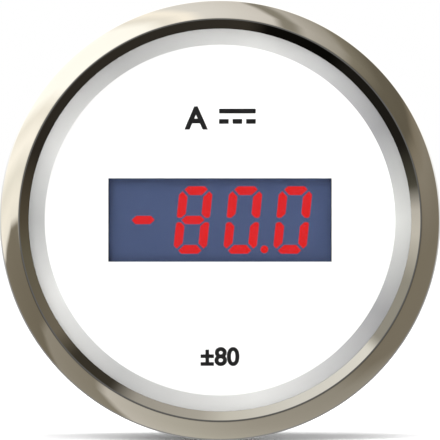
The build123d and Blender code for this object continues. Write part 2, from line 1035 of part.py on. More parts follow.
def clamp_bracket():
    """U-shaped clamp of bent strip. Its feet press on the back of the panel."""
    leg_outside = leg_inside + clamp_sheet
    skin = [
        (-leg_outside, panel_thickness),
        (-leg_outside, strap_rear),
        (leg_outside, strap_rear),
        (leg_outside, panel_thickness),
    ]
    body = extrude(strip(skin, [clamp_bend] * 2, clamp_sheet), amount=clamp_width / 2, both=True)
    feet = body.edges().filter_by(Axis.X).group_by(Axis.Y)[0]
    body = fillet(feet, clamp_foot_corner)
    bead = slab(SlotOverall(bead_length, bead_width), strap_rear, strap_rear + bead_height)
    body += chamfer(bead.edges().group_by(Axis.Y)[-1], bead_height / 2)
    hollow = SlotOverall(bead_length - clamp_sheet, bead_width - clamp_sheet)
    body -= slab(hollow, strap_front, strap_front + bead_height)
    for x in stud_places.values():
        body -= rod(stud_radius + clamp_hole_clearance, x, 0, strap_front, strap_rear)
    return body


def flat_washer(x):
    """Plain washer on the clamp's strap."""
    hole = stud_radius + washer_clearance
    back = strap_rear + washer_thickness
    washer = rod(washer_radius, x, 0, strap_rear, back)
    return washer - rod(hole, x, 0, strap_rear, back)


def spring_washer(x):
    """Split washer under the nut."""
    front = strap_rear + washer_thickness
    back = front + spring_thickness
    washer = rod(spring_radius, x, 0, front, back)
    washer -= rod(stud_radius + washer_clearance, x, 0, front, back)
    return washer - block(spring_slit, spring_radius, x, spring_radius / 2, front, back)


def knurled_outline(x):
    """The nut's fluted outline, worked out round its circle."""
    points = []
    for i in range(2 * knurl_count):
        radius = nut_radius - (i % 2) * knurl_depth
        angle = tau * i / (2 * knurl_count)
        points.append((x + radius * cos(angle), radius * sin(angle)))
    return make_face(Polyline(*points, close=True))


def thumb_nut(x):
    """Knurled nut with a plain collar towards the clamp."""
    collar_front = strap_rear + washer_thickness + spring_thickness
    head_front = collar_front + nut_collar_height
    back = head_front + nut_height
    blank = rod(nut_radius, x, 0, head_front, back)
    blank = chamfer(blank.edges().filter_by(GeomType.CIRCLE), nut_chamfer)
    head = slab(knurled_outline(x), head_front, back) & blank
    nut = head + rod(nut_collar_radius, x, 0, collar_front, head_front)
    return nut - rod(stud_radius + thread_clearance, x, 0, collar_front, back)


# ---- Writing ------------------------------------------------------------------------------------


def nodes():
    """Every node's name and shape."""
    made = {
        "bezel": bezel(),
        "bezel_seal": bezel_seal(),
        "lens": lens(),
        "lens_gasket": lens_gasket(),
        "trim_ring": trim_ring(),
        "dial": dial(),
        "display_window": display_window(),
        "light_guide": light_guide(),
        "light_box": light_box(),
        "display_body": display_body(),
        "lit_segments": segments(True),
        "unlit_segments": segments(False),
        "display_pins": display_pins(),
        "front_board": front_board(),
        "backlight_leds": backlight_leds(),
        "display_driver": display_driver(),
        "segment_resistors": segment_resistors(),
        "board_screws": board_screws(),
        "standoffs": standoffs(),
        "link_pins": link_pins(),
        "link_insulators": link_insulators(),
        "rear_board": rear_board(),
        "microcontroller": microcontroller(),
        "crystal": crystal(),
        "sense_amplifier": sense_amplifier(),
        "voltage_regulator": voltage_regulator(),
        "electrolytic_capacitors": electrolytic_capacitors(),
        "power_inductor": power_inductor(),
        "surge_suppressor": surge_suppressor(),
        "rear_passives": rear_passives(),
        "power_header": header(power_contacts_count, power_z),
        "power_contacts": contacts(power_contacts_count, power_z),
        "power_header_seal": header_seal(power_contacts_count, power_z),
        "sensor_header": header(sensor_contacts_count, sensor_z),
        "sensor_contacts": contacts(sensor_contacts_count, sensor_z),
        "sensor_header_seal": header_seal(sensor_contacts_count, sensor_z),
        "front_frame": front_frame(),
        "case": case(),
        "panel_gasket": panel_gasket(),
        "clamp_bracket": clamp_bracket(),
    }
    for side, x in stud_places.items():
        made[side + "_stud"] = stud(x)
        made[side + "_flat_washer"] = flat_washer(x)
        made[side + "_spring_washer"] = spring_washer(x)
        made[side + "_thumb_nut"] = thumb_nut(x)
    return made


os.makedirs("parts", exist_ok=True)
for name, shape in nodes().items():
    export_step(shape, "parts/" + name + ".step")
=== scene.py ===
"""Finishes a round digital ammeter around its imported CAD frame.

The gauge is a turned and polished bezel over a glass, a satin ring, a white dial and a lit
display. Behind the panel are a black moulded case with two plug headers, and a plated clamp
drawn up on threaded studs by knurled nuts. Lengths are in millimetres unless a name says
otherwise, and the dial faces -Y with +Z up.
"""

import logging
import math
from collections import Counter
from contextlib import contextmanager
from dataclasses import dataclass, field
from enum import Enum
from typing import Callable, Iterator, Optional, Sequence, Union

import bmesh
import bpy
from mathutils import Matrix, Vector

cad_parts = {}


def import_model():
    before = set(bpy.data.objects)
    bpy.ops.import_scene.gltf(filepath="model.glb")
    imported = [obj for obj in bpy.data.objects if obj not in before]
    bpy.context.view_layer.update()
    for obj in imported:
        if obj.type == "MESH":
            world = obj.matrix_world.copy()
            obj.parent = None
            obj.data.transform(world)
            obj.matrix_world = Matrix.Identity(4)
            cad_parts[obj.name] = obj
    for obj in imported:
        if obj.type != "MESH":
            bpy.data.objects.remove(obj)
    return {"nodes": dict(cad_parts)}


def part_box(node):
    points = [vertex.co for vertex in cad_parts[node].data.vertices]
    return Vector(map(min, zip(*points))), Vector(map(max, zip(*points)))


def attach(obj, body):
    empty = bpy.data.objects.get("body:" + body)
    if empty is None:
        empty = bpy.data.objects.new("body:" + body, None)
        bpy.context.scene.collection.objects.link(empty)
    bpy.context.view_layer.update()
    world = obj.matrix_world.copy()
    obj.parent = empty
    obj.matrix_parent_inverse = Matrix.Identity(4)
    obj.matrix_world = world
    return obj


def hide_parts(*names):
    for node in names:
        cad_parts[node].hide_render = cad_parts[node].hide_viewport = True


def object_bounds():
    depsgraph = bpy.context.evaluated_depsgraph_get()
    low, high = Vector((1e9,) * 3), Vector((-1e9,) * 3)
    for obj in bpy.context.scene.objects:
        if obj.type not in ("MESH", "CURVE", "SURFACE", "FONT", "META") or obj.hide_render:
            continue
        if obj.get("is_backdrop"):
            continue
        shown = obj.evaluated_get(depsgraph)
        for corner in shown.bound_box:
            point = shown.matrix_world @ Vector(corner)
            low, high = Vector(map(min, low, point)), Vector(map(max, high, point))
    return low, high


# A millimetre, in metres.
MM = 0.001
# Corners this close are one corner, and faces this close to a plane are one face.
MERGE_WITHIN = 0.001 * MM
FLAT_WITHIN = math.radians(0.5)
# Stands in for a grain without depth, because a bump of none hides the bump before it.
LEAST_DEPTH = 1e-6
LOG = logging.getLogger("ammeter")

Piece = bpy.types.Object
Tree = bpy.types.NodeTree
Socket = bpy.types.NodeSocket
Point = tuple[float, float]
Colour = tuple[float, float, float, float]
Setting = Union[float, Sequence[float], Socket]


# ---- Modelling helpers --------------------------------------------------------------------------


class Element(Enum):
    """What an edit-mode selection is made of."""

    VERTEX = "VERT"
    EDGE = "EDGE"
    FACE = "FACE"


def clear_bench() -> None:
    """Leaves object mode with nothing selected."""
    if bpy.context.object and bpy.context.object.mode != "OBJECT":
        bpy.ops.object.mode_set(mode="OBJECT")
    bpy.ops.object.select_all(action="DESELECT")


def focus(piece: Piece) -> None:
    """Selects one piece alone and makes it active."""
    clear_bench()
    piece.select_set(True)
    bpy.context.view_layer.objects.active = piece


@contextmanager
def editing(piece: Piece, element: Element = Element.VERTEX) -> Iterator[None]:
    """Opens a piece in edit mode and goes back to object mode afterwards.

    Args:
        piece: The mesh object to edit.
        element: What selections are made of.
    """
    focus(piece)
    bpy.ops.object.mode_set(mode="EDIT")
    bpy.ops.mesh.select_mode(type=element.value)
    yield
    bpy.ops.object.mode_set(mode="OBJECT")


def pick(piece: Piece, element: Element, wanted: Callable[..., bool]) -> None:
    """Selects the vertices, edges or faces of the piece in edit mode that pass a test.

    Args:
        piece: The piece that is in edit mode.
        element: What the test is given.
        wanted: Called with a vertex's place in millimetres, an edge's middle and direction, or
            a face's middle and normal.
    """
    bpy.ops.mesh.select_all(action="DESELECT")
    mesh = bmesh.from_edit_mesh(piece.data)
    if element is Element.VERTEX:
        for vertex in mesh.verts:
            vertex.select = wanted(vertex.co / MM)
    elif element is Element.EDGE:
        for edge in mesh.edges:
            start, end = (v.co for v in edge.verts)
            edge.select = wanted((start + end) / 2 / MM, (end - start).normalized())
    else:
        for face in mesh.faces:
            face.select = wanted(face.calc_center_median() / MM, face.normal)
    mesh.select_flush_mode()
    bmesh.update_edit_mesh(piece.data)


def apply_modifier(piece: Piece, kind: str, **settings: object) -> None:
    """Adds a modifier with its settings and applies it."""
    focus(piece)
    modifier = piece.modifiers.new(kind.lower(), kind)
    for name, value in settings.items():
        setattr(modifier, name, value)
    bpy.ops.object.modifier_apply(modifier=modifier.name)


def soften(piece: Piece, radius: float, segments: int = 2, sharper_than: float = 40) -> None:
    """Rounds every edge that is sharper than an angle.

    Args:
        piece: The closed mesh to round.
        radius: Width of the rounding.
        segments: Faces across the rounding.
        sharper_than: Smallest angle between faces, in degrees, that is rounded.
    """
    limit = math.radians(sharper_than)
    settings = {"limit_method": "ANGLE", "angle_limit": limit, "use_clamp_overlap": True}
    apply_modifier(piece, "BEVEL", width=radius * MM, segments=segments, **settings)


def shade(piece: Piece, angle: float = 32) -> None:
    """Shades a piece smooth, with edges sharper than the angle left crisp."""
    focus(piece)
    bpy.ops.object.shade_smooth_by_angle(angle=math.radians(angle))


def settle(piece: Piece) -> None:
    """Moves a piece's place, turn and scale into its mesh, so that its object is at the origin."""
    focus(piece)
    bpy.ops.object.transform_apply(location=True, rotation=True, scale=True)


def outline_wire(name: str, corners: Sequence[Point], closed: bool) -> Piece:
    """Draws a half section as a wire, corner by corner.

    Args:
        name: Name of the new piece.
        corners: The section's corners as (radius, depth).
        closed: Whether the last corner joins the first.

    Returns:
        The wire, in the plane of X and Y.
    """
    clear_bench()
    bpy.ops.mesh.primitive_plane_add(size=MM, location=(0, 0, 0))
    piece = bpy.context.object
    piece.name = name
    path = list(corners) + ([corners[0]] if closed else [])
    with editing(piece):
        bpy.ops.mesh.select_all(action="SELECT")
        bpy.ops.mesh.merge(type="CENTER")
        bpy.ops.transform.translate(value=(path[0][0] * MM, path[0][1] * MM, 0))
        for before, after in zip(path, path[1:]):
            step = ((after[0] - before[0]) * MM, (after[1] - before[1]) * MM, 0)
            bpy.ops.mesh.extrude_vertices_move(TRANSFORM_OT_translate={"value": step})
        bpy.ops.mesh.select_all(action="SELECT")
        bpy.ops.mesh.remove_doubles(threshold=MERGE_WITHIN)
    return piece


@dataclass
class Turning:
    """A ring or disc turned about the gauge's axis.

    Attributes:
        name: Name of the piece.
        corners: Corners of its half section as (radius, depth).
        rounding: Corner number to the distance, from the corner, at which its arc starts.
        closed: Whether the section is a closed loop, as on a ring.
        steps: Faces round the axis.
        arc_faces: Faces across each arc.
        near: How close a corner is to its stated place when it is picked.
        seam: Distance within which the spin's two ends are merged.
    """

    name: str
    corners: Sequence[Point]
    rounding: dict[int, float] = field(default_factory=dict)
    closed: bool = True
    steps: int = 256
    arc_faces: int = 5
    near: float = 0.02
    seam: float = 0.002

    def make(self) -> Piece:
        """Draws the section, rounds its corners and spins it."""
        piece = outline_wire(self.name, self.corners, self.closed)
        with editing(piece):
            for corner, distance in self.rounding.items():
                place = Vector((*self.corners[corner], 0))
                pick(piece, Element.VERTEX, lambda at, place=place: (at - place).length < self.near)
                bpy.ops.mesh.bevel(
                    offset=distance * MM,
                    segments=self.arc_faces,
                    affect="VERTICES",
                    clamp_overlap=True,
                )
            bpy.ops.mesh.select_all(action="SELECT")
            bpy.ops.mesh.spin(steps=self.steps, angle=math.tau, center=(0, 0, 0), axis=(0, 1, 0))
            bpy.ops.mesh.select_all(action="SELECT")
            bpy.ops.mesh.remove_doubles(threshold=self.seam * MM)
            bpy.ops.mesh.normals_make_consistent(inside=False)
        return piece


def copy_node(name: str, node: str) -> Piece:
    """Copies a CAD node's mesh into a new piece, with its loose triangles merged into faces.

    Args:
        name: Name of the new piece.
        node: The CAD node.

    Returns:
        The closed copy.
    """
    focus(bpy.data.objects[node])
    bpy.ops.object.duplicate()
    piece = bpy.context.object
    piece.name = name
    piece.parent = None
    for key in list(piece.keys()):
        del piece[key]
    with editing(piece):
        bpy.ops.mesh.select_all(action="SELECT")
        bpy.ops.mesh.remove_doubles(threshold=MERGE_WITHIN)
        bpy.ops.mesh.customdata_custom_splitnormals_clear()
        bpy.ops.mesh.dissolve_limited(angle_limit=FLAT_WITHIN)
    return piece


# ---- Material helpers ---------------------------------------------------------------------------


def linear(code: str) -> Colour:
    """Turns an sRGB hex colour such as #c8c4bc into linear light."""
    parts = [int(code[i : i + 2], 16) / 255 for i in (1, 3, 5)]
    red, green, blue = (p / 12.92 if p <= 0.04045 else ((p + 0.055) / 1.055) ** 2.4 for p in parts)
    return (red, green, blue, 1.0)


def per_metre(size: float) -> float:
    """A texture's scale for a pattern whose features are this many millimetres apart."""
    return 1 / (size * MM)


def add_node(
    tree: Tree, kind: str, inputs: Optional[dict[object, Setting]] = None, **settings: object
) -> bpy.types.Node:
    """Adds a node with its settings, values and links.

    Args:
        tree: The tree that gets the node.
        kind: The node's type.
        inputs: Input name or number to a value, or to the socket that is linked to it.
        settings: Properties of the node.

    Returns:
        The new node.
    """
    node = tree.nodes.new(kind)
    for name, value in settings.items():
        setattr(node, name, value)
    for name, value in (inputs or {}).items():
        if isinstance(value, Socket):
            tree.links.new(value, node.inputs[name])
        else:
            node.inputs[name].default_value = value
    return node


def set_stops(ramp: bpy.types.ColorRamp, stops: Sequence[tuple[float, Colour]]) -> None:
    """Gives a colour ramp its stops, from low to high."""
    while len(ramp.elements) > 1:
        ramp.elements.remove(ramp.elements[-1])
    ramp.elements[0].position, ramp.elements[0].color = stops[0]
    for place, colour in stops[1:]:
        ramp.elements.new(place).color = colour


def new_material(name: str) -> tuple[bpy.types.Material, Tree, bpy.types.Node]:
    """Makes an empty material and returns it with its tree and output node."""
    material = bpy.data.materials.new(name)
    material.use_nodes = True
    material.node_tree.nodes.clear()
    output = add_node(material.node_tree, "ShaderNodeOutputMaterial")
    return material, material.node_tree, output


@dataclass(frozen=True)
class Grain:
    """A surface's random unevenness.

    Attributes:
        size: Distance between features.
        depth: Height of the bump.
        swing: How far the roughness strays either way.
        tone: Share of the second colour at the grain's darkest.
        detail: How many times it is repeated at half the size.
        falloff: Strength of each repeat beside the one before.
    """

    size: float
    depth: float = 0.0
    swing: float = 0.0
    tone: float = 0.0
    detail: float = 3.0
    falloff: float = 0.55


@dataclass(frozen=True)
class Finish:
    """A solid surface: one base colour that drifts to another, over two sizes of grain.

    Attributes:
        name: The material's common name and how its surface was made.
        colour: Base colour.
        drift: The colour it strays towards.
        roughness: Middle roughness.
        metallic: 1 for bare metal.
        fine: Grain that gives the surface its feel.
        broad: Slow unevenness, such as handling marks or flow in the mould.
        ior: Refractive index of a non-metal.
        specular: Specular level, for a dusty or oiled surface.
        coat: Weight of a clear coat.
        stretch: Stretch of the fine grain along X, Y and Z, for drawn or brushed metal.
    """

    name: str
    colour: str
    drift: str
    roughness: float
    metallic: float = 0.0
    fine: Grain = Grain(0.3)
    broad: Grain = Grain(6.0)
    ior: float = 1.5
    specular: float = 0.5
    coat: float = 0.0
    stretch: tuple[float, float, float] = (1, 1, 1)

    def noise(self, tree: Tree, place: Socket, grain: Grain) -> Socket:
        """Adds a noise of a grain's size and returns its value."""
        inputs = {"Vector": place, "Scale": per_metre(grain.size)}
        inputs |= {"Detail": grain.detail, "Roughness": grain.falloff}
        return add_node(tree, "ShaderNodeTexNoise", inputs).outputs["Fac"]

    def build(self) -> bpy.types.Material:
        """Makes the material."""
        material, tree, output = new_material(self.name)
        place = add_node(tree, "ShaderNodeTexCoord").outputs["Object"]
        stretched = add_node(tree, "ShaderNodeMapping", {"Vector": place, "Scale": self.stretch})
        fine = self.noise(tree, stretched.outputs["Vector"], self.fine)
        broad = self.noise(tree, place, self.broad)
        inputs = {
            "Base Color": self.tinted(tree, fine, broad),
            "Roughness": self.roughened(tree, fine, broad),
            "Metallic": self.metallic,
            "Specular IOR Level": self.specular,
            "Coat Weight": self.coat,
        }
        if not self.metallic:
            inputs["IOR"] = self.ior
        if self.fine.depth or self.broad.depth:
            inputs["Normal"] = self.bumped(tree, fine, broad)
        shader = add_node(tree, "ShaderNodeBsdfPrincipled", inputs)
        tree.links.new(shader.outputs["BSDF"], output.inputs["Surface"])
        return material

    def tinted(self, tree: Tree, fine: Socket, broad: Socket) -> Socket:
        """Colour that drifts with both grains."""
        share = add_node(tree, "ShaderNodeMath", {0: fine, 1: self.fine.tone}, operation="MULTIPLY")
        total = add_node(
            tree,
            "ShaderNodeMath",
            {0: broad, 1: self.broad.tone, 2: share.outputs[0]},
            operation="MULTIPLY_ADD",
            use_clamp=True,
        )
        inputs = {"Factor": total.outputs[0], 6: linear(self.colour), 7: linear(self.drift)}
        return add_node(tree, "ShaderNodeMix", inputs, data_type="RGBA").outputs[2]

    def roughened(self, tree: Tree, fine: Socket, broad: Socket) -> Socket:
        """Roughness that strays with both grains."""
        parts = {}
        middles = ((fine, self.fine, 0.0), (broad, self.broad, self.roughness))
        for number, (value, grain, middle) in enumerate(middles):
            ends = {"To Min": middle - grain.swing, "To Max": middle + grain.swing}
            node = add_node(tree, "ShaderNodeMapRange", {"Value": value, **ends})
            parts[number] = node.outputs["Result"]
        total = add_node(tree, "ShaderNodeMath", parts, operation="ADD", use_clamp=True)
        return total.outputs[0]

    def bumped(self, tree: Tree, fine: Socket, broad: Socket) -> Socket:
        """Normals that follow both grains, the broad one first."""
        inputs: dict[object, Setting] = {"Strength": 1.0}
        for value, grain in ((broad, self.broad), (fine, self.fine)):
            inputs |= {"Height": value, "Distance": max(grain.depth, LEAST_DEPTH) * MM}
            inputs["Normal"] = add_node(tree, "ShaderNodeBump", inputs).outputs["Normal"]
        return inputs["Normal"]


@dataclass(frozen=True)
class SpunSilver:
    """Satin silver ring, spun, with painted highlights and painted shade in its base colour:
    lighter and darker arcs round the axis.

    Attributes:
        name: The material's common name and how its surface was made.
        painted_light_sectors: Angle from the right, in degrees, to the tone there, a painted
            highlight where it is light and painted shade where it is dark. The lower half mirrors
            the upper one.
        metallic: How far it mirrors as bare metal does, under its frosted face.
        roughness: Roughness across the spinning marks.
        groove: Distance between spinning marks. Real ones are finer and wouldn't show.
        depth: Height of the marks.
        detail: How many times the marks are repeated at half the size.
    """

    name: str = "aluminium, spun satin"
    # These tones are painted highlights and painted shade, not the metal's own colour.
    painted_light_sectors: tuple[tuple[float, str], ...] = (
        (0, "#c8c9c6"),
        (30, "#949495"),
        (54, "#b6b6b6"),
        (78, "#d2d2d0"),
        (123, "#b7b7b6"),
        (156, "#e0e0de"),
        (180, "#bcbdbc"),
    )
    metallic: float = 0.12
    roughness: float = 0.42
    groove: float = 0.14
    depth: float = 0.004
    detail: float = 2.0

    def painted_light_tone(self, tree: Tree, x: Socket, z: Socket) -> Socket:
        """The painted highlight or painted shade tone at a point's angle round the axis."""
        angle = add_node(tree, "ShaderNodeMath", {0: z, 1: x}, operation="ARCTAN2")
        upper = add_node(tree, "ShaderNodeMath", {0: angle.outputs[0]}, operation="ABSOLUTE")
        inputs = {0: upper.outputs[0], 1: math.pi}
        share = add_node(tree, "ShaderNodeMath", inputs, operation="DIVIDE")
        ramp = add_node(tree, "ShaderNodeValToRGB", {"Fac": share.outputs[0]})
        set_stops(ramp.color_ramp, [(at / 180, linear(tone)) for at, tone in self.painted_light_sectors])
        return ramp.outputs["Color"]

    def marks(self, tree: Tree, x: Socket, z: Socket) -> Socket:
        """Normals that follow the rings left by spinning."""
        across = add_node(tree, "ShaderNodeCombineXYZ", {"X": x, "Z": z}).outputs[0]
        radius = add_node(tree, "ShaderNodeVectorMath", {0: across}, operation="LENGTH")
        inputs = {"W": radius.outputs["Value"], "Scale": per_metre(self.groove)}
        inputs["Detail"] = self.detail
        rings = add_node(tree, "ShaderNodeTexNoise", inputs, noise_dimensions="1D")
        inputs = {"Height": rings.outputs["Fac"], "Distance": self.depth * MM, "Strength": 1.0}
        return add_node(tree, "ShaderNodeBump", inputs).outputs["Normal"]

    def build(self) -> bpy.types.Material:
        """Makes the material."""
        material, tree, output = new_material(self.name)
        place = add_node(tree, "ShaderNodeTexCoord").outputs["Object"]
        split = add_node(tree, "ShaderNodeSeparateXYZ", {"Vector": place})
        x, z = split.outputs["X"], split.outputs["Z"]
        inputs = {
            # Base colour carries painted highlights and painted shade by angle round the axis.
            "Base Color": self.painted_light_tone(tree, x, z),
            "Metallic": self.metallic,
            "Roughness": self.roughness,
            "Normal": self.marks(tree, x, z),
        }
        shader = add_node(tree, "ShaderNodeBsdfPrincipled", inputs)
        tree.links.new(shader.outputs["BSDF"], output.inputs["Surface"])
        return material


@dataclass(frozen=True)
class ClearSheet:
    """A thin clear sheet that passes light straight through and mirrors at a slant.

    Attributes:
        name: The material's common name and how its surface was made.
        tint: Colour of what passes through.
        ior: Refractive index.
        roughness: Roughness of the mirroring.
        smear: Distance between smears left by wiping.
        smear_detail: How many times they are repeated at half the size.
        smear_swing: How far they change the roughness, as a share of it.
        slant_power: How late the mirroring rises as the view slants.
    """

    name: str
    tint: str
    ior: float
    roughness: float
    smear: float = 9.0
    smear_detail: float = 4.0
    smear_swing: float = 0.5
    slant_power: float = 5.0

    def build(self) -> bpy.types.Material:
        """Makes the material."""
        material, tree, output = new_material(self.name)
        place = add_node(tree, "ShaderNodeTexCoord").outputs["Object"]
        inputs = {"Vector": place, "Scale": per_metre(self.smear), "Detail": self.smear_detail}
        smear = add_node(tree, "ShaderNodeTexNoise", inputs)
        low, high = (self.roughness * (1 + side * self.smear_swing) for side in (-1, 1))
        inputs = {"Value": smear.outputs["Fac"], "To Min": low, "To Max": high}
        haze = add_node(tree, "ShaderNodeMapRange", inputs)
        through = add_node(tree, "ShaderNodeBsdfTransparent", {"Color": linear(self.tint)})
        mirror = add_node(tree, "ShaderNodeBsdfGlossy", {"Roughness": haze.outputs["Result"]})
        slant = add_node(tree, "ShaderNodeLayerWeight", {"Blend": 0.5}).outputs["Facing"]
        steep = add_node(tree, "ShaderNodeMath", {0: slant, 1: self.slant_power}, operation="POWER")
        head_on = ((self.ior - 1) / (self.ior + 1)) ** 2
        inputs = {0: steep.outputs[0], 1: 1 - head_on, 2: head_on}
        share = add_node(tree, "ShaderNodeMath", inputs, operation="MULTIPLY_ADD")
        inputs = {0: share.outputs[0], 1: through.outputs[0], 2: mirror.outputs[0]}
        mix = add_node(tree, "ShaderNodeMixShader", inputs)
        tree.links.new(mix.outputs[0], output.inputs["Surface"])
        return material


@dataclass(frozen=True)
class TintedSheet:
    """A see-through sheet whose satin face shows a little of its own tint.

    Attributes:
        name: The material's common name and how its surface was made.
        tint: Its colour.
        cover: How much of what lies behind it is hidden.
        roughness: Roughness of its face.
        grain: Distance between the features of its satin.
        detail: How many times they are repeated at half the size.
        swing: How far the roughness strays either way.
        ior: Refractive index.
        specular: Specular level.
    """

    name: str
    tint: str
    cover: float
    roughness: float
    grain: float = 0.2
    detail: float = 2.0
    swing: float = 0.04
    ior: float = 1.49
    specular: float = 0.1

    def build(self) -> bpy.types.Material:
        """Makes the material."""
        material, tree, output = new_material(self.name)
        place = add_node(tree, "ShaderNodeTexCoord").outputs["Object"]
        inputs = {"Vector": place, "Scale": per_metre(self.grain), "Detail": self.detail}
        fine = add_node(tree, "ShaderNodeTexNoise", inputs)
        low, high = self.roughness - self.swing, self.roughness + self.swing
        inputs = {"Value": fine.outputs["Fac"], "To Min": low, "To Max": high}
        satin = add_node(tree, "ShaderNodeMapRange", inputs)
        inputs = {
            "Base Color": linear(self.tint),
            "Roughness": satin.outputs["Result"],
            "Specular IOR Level": self.specular,
            "IOR": self.ior,
            "Alpha": self.cover,
        }
        shader = add_node(tree, "ShaderNodeBsdfPrincipled", inputs)
        tree.links.new(shader.outputs["BSDF"], output.inputs["Surface"])
        return material


@dataclass(frozen=True)
class LitSegment:
    """Red segment lit from behind, which fades into the display's face at its rim.

    Attributes:
        name: The material's common name and how its surface was made.
        glow: Colour of the light.
        face: Colour of the display's face round it.
        attribute: Mesh attribute that is 1 in the segment's middle and 0 at the rim's edge.
        full_at: The attribute's value from which the segment is fully lit.
        cloud: Distance between the brighter and duller patches of the light.
        cloud_swing: How far those patches stray from the middle strength.
        face_roughness: Roughness of the display's face.
    """

    name: str
    glow: str
    face: str
    attribute: str = "glow"
    full_at: float = 0.4
    cloud: float = 1.6
    cloud_swing: float = 0.08
    face_roughness: float = 0.6

    def build(self) -> bpy.types.Material:
        """Makes the material."""
        material, tree, output = new_material(self.name)
        fade = add_node(tree, "ShaderNodeAttribute", attribute_name=self.attribute)
        place = add_node(tree, "ShaderNodeTexCoord").outputs["Object"]
        inputs = {"Vector": place, "Scale": per_metre(self.cloud), "Detail": 1.0}
        uneven = add_node(tree, "ShaderNodeTexNoise", inputs).outputs["Fac"]
        ends = {"To Min": 1 - self.cloud_swing, "To Max": 1 + self.cloud_swing}
        level = add_node(tree, "ShaderNodeMapRange", {"Value": uneven, **ends})
        inputs = {"Color": linear(self.glow), "Strength": level.outputs["Result"]}
        lamp = add_node(tree, "ShaderNodeEmission", inputs)
        inputs = {"Base Color": linear(self.face), "Roughness": self.face_roughness}
        face = add_node(tree, "ShaderNodeBsdfPrincipled", inputs)
        inputs = {"Value": fade.outputs["Fac"], "From Max": self.full_at}
        smooth = add_node(tree, "ShaderNodeMapRange", inputs, interpolation_type="SMOOTHSTEP")
        inputs = {0: smooth.outputs["Result"], 1: face.outputs[0], 2: lamp.outputs[0]}
        mix = add_node(tree, "ShaderNodeMixShader", inputs)
        tree.links.new(mix.outputs[0], output.inputs["Surface"])
        return material


# Buffed 304 stainless sheet. It mirrors the room, with the faint haze that a polishing mop leaves.
POLISHED_STAINLESS = Finish(
    "stainless steel, mirror buffed",
    "#e0ded9",
    "#d5d2cc",
    roughness=0.06,
    metallic=1.0,
    fine=Grain(0.35, swing=0.012),
    broad=Grain(7.0, swing=0.015, tone=0.5),
)
# Zinc plate over mild steel strip: a soft bluish grey, cloudy, with fine drawing marks.
ZINC_STRIP = Finish(
    "zinc plate on steel strip, drawn",
    "#c9ccce",
    "#a2a7ab",
    roughness=0.34,
    metallic=1.0,
    fine=Grain(0.30, depth=0.004, swing=0.07, tone=0.25),
    broad=Grain(4.5, swing=0.06, tone=0.6),
    stretch=(1, 1, 6),
)
# Zinc plate on small parts tumbled in a barrel, which leaves it brighter and even.
ZINC_HARDWARE = Finish(
    "zinc plate on steel, barrel plated",
    "#c6c8c9",
    "#9a9da0",
    roughness=0.30,
    metallic=1.0,
    fine=Grain(0.22, depth=0.003, swing=0.06, tone=0.2),
    broad=Grain(2.5, swing=0.05, tone=0.5),
)
# Turned free-cutting brass, handled enough to have dulled in patches.
TURNED_BRASS = Finish(
    "brass, turned and knurled",
    "#dfc483",
    "#b3934f",
    roughness=0.27,
    metallic=1.0,
    fine=Grain(0.18, depth=0.002, swing=0.06, tone=0.25),
    broad=Grain(2.2, swing=0.08, tone=0.45),
)
# Black ABS from a spark-eroded mould, which leaves a fine even stipple and a low sheen.
BLACK_ABS = Finish(
    "ABS, moulded with a spark texture",
    "#1d1d1f",
    "#2b2b2d",
    roughness=0.50,
    fine=Grain(0.32, depth=0.030, swing=0.06, tone=0.25),
    broad=Grain(14.0, swing=0.06, tone=0.35),
    ior=1.54,
)
# Nylon moulded in a plain tool: smoother than the case, with a soft sheen.
BLACK_NYLON = Finish(
    "nylon, moulded black",
    "#1a1a1b",
    "#29292a",
    roughness=0.42,
    fine=Grain(0.25, depth=0.010, swing=0.05, tone=0.2),
    broad=Grain(5.0, swing=0.06, tone=0.3),
    ior=1.53,
)
# Nylon without pigment, a warm cream that yellows unevenly.
NATURAL_NYLON = Finish(
    "nylon, moulded natural",
    "#cfc7b0",
    "#bcb193",
    roughness=0.40,
    fine=Grain(0.25, depth=0.008, swing=0.05, tone=0.2),
    broad=Grain(5.0, swing=0.05, tone=0.5),
    ior=1.53,
)
# EPDM rubber with the dry bloom that settles on it.
RUBBER = Finish(
    "EPDM rubber, moulded",
    "#181818",
    "#37373a",
    roughness=0.72,
    fine=Grain(0.18, depth=0.012, swing=0.05, tone=0.3),
    broad=Grain(3.5, swing=0.05, tone=0.5),
    ior=1.5,
    specular=0.35,
)
# Silicone seals, matt and rust red.
SILICONE = Finish(
    "silicone rubber, moulded",
    "#9a5230",
    "#7f4126",
    roughness=0.6,
    fine=Grain(0.2, depth=0.006, swing=0.04, tone=0.2),
    broad=Grain(3.0, tone=0.4),
    ior=1.42,
)
# Polycarbonate sheet printed with white ink, which dries to an even eggshell.
PRINTED_WHITE = Finish(
    "polycarbonate sheet, screen printed white",
    "#f7f7f6",
    "#efefed",
    roughness=0.5,
    fine=Grain(0.12, depth=0.0015, swing=0.04, tone=0.15),
    broad=Grain(8.0, swing=0.03, tone=0.35),
    ior=1.58,
)
# Screen ink, a dense black with a slight sheen.
BLACK_INK = Finish(
    "screen ink, black",
    "#070606",
    "#0f0e0e",
    roughness=0.45,
    fine=Grain(0.10, depth=0.001, swing=0.05, tone=0.4),
    broad=Grain(1.2, swing=0.04, tone=0.3),
)
# The display's printed face, a matt slate blue that hides the segments that aren't lit.
SLATE_FACE = "#424f70"
DISPLAY_FACE = Finish(
    "epoxy, printed slate blue",
    SLATE_FACE,
    "#3e4b6a",
    roughness=0.7,
    specular=0.1,
    fine=Grain(0.15, swing=0.03, tone=0.2),
    broad=Grain(5.0, tone=0.25),
)
# White ABS that spreads the backlight, with a low sheen.
WHITE_ABS = Finish(
    "ABS, moulded white",
    "#e6e5e0",
    "#d8d6cf",
    roughness=0.45,
    fine=Grain(0.3, depth=0.008, swing=0.05, tone=0.2),
    broad=Grain(6.0, tone=0.4),
    ior=1.54,
)
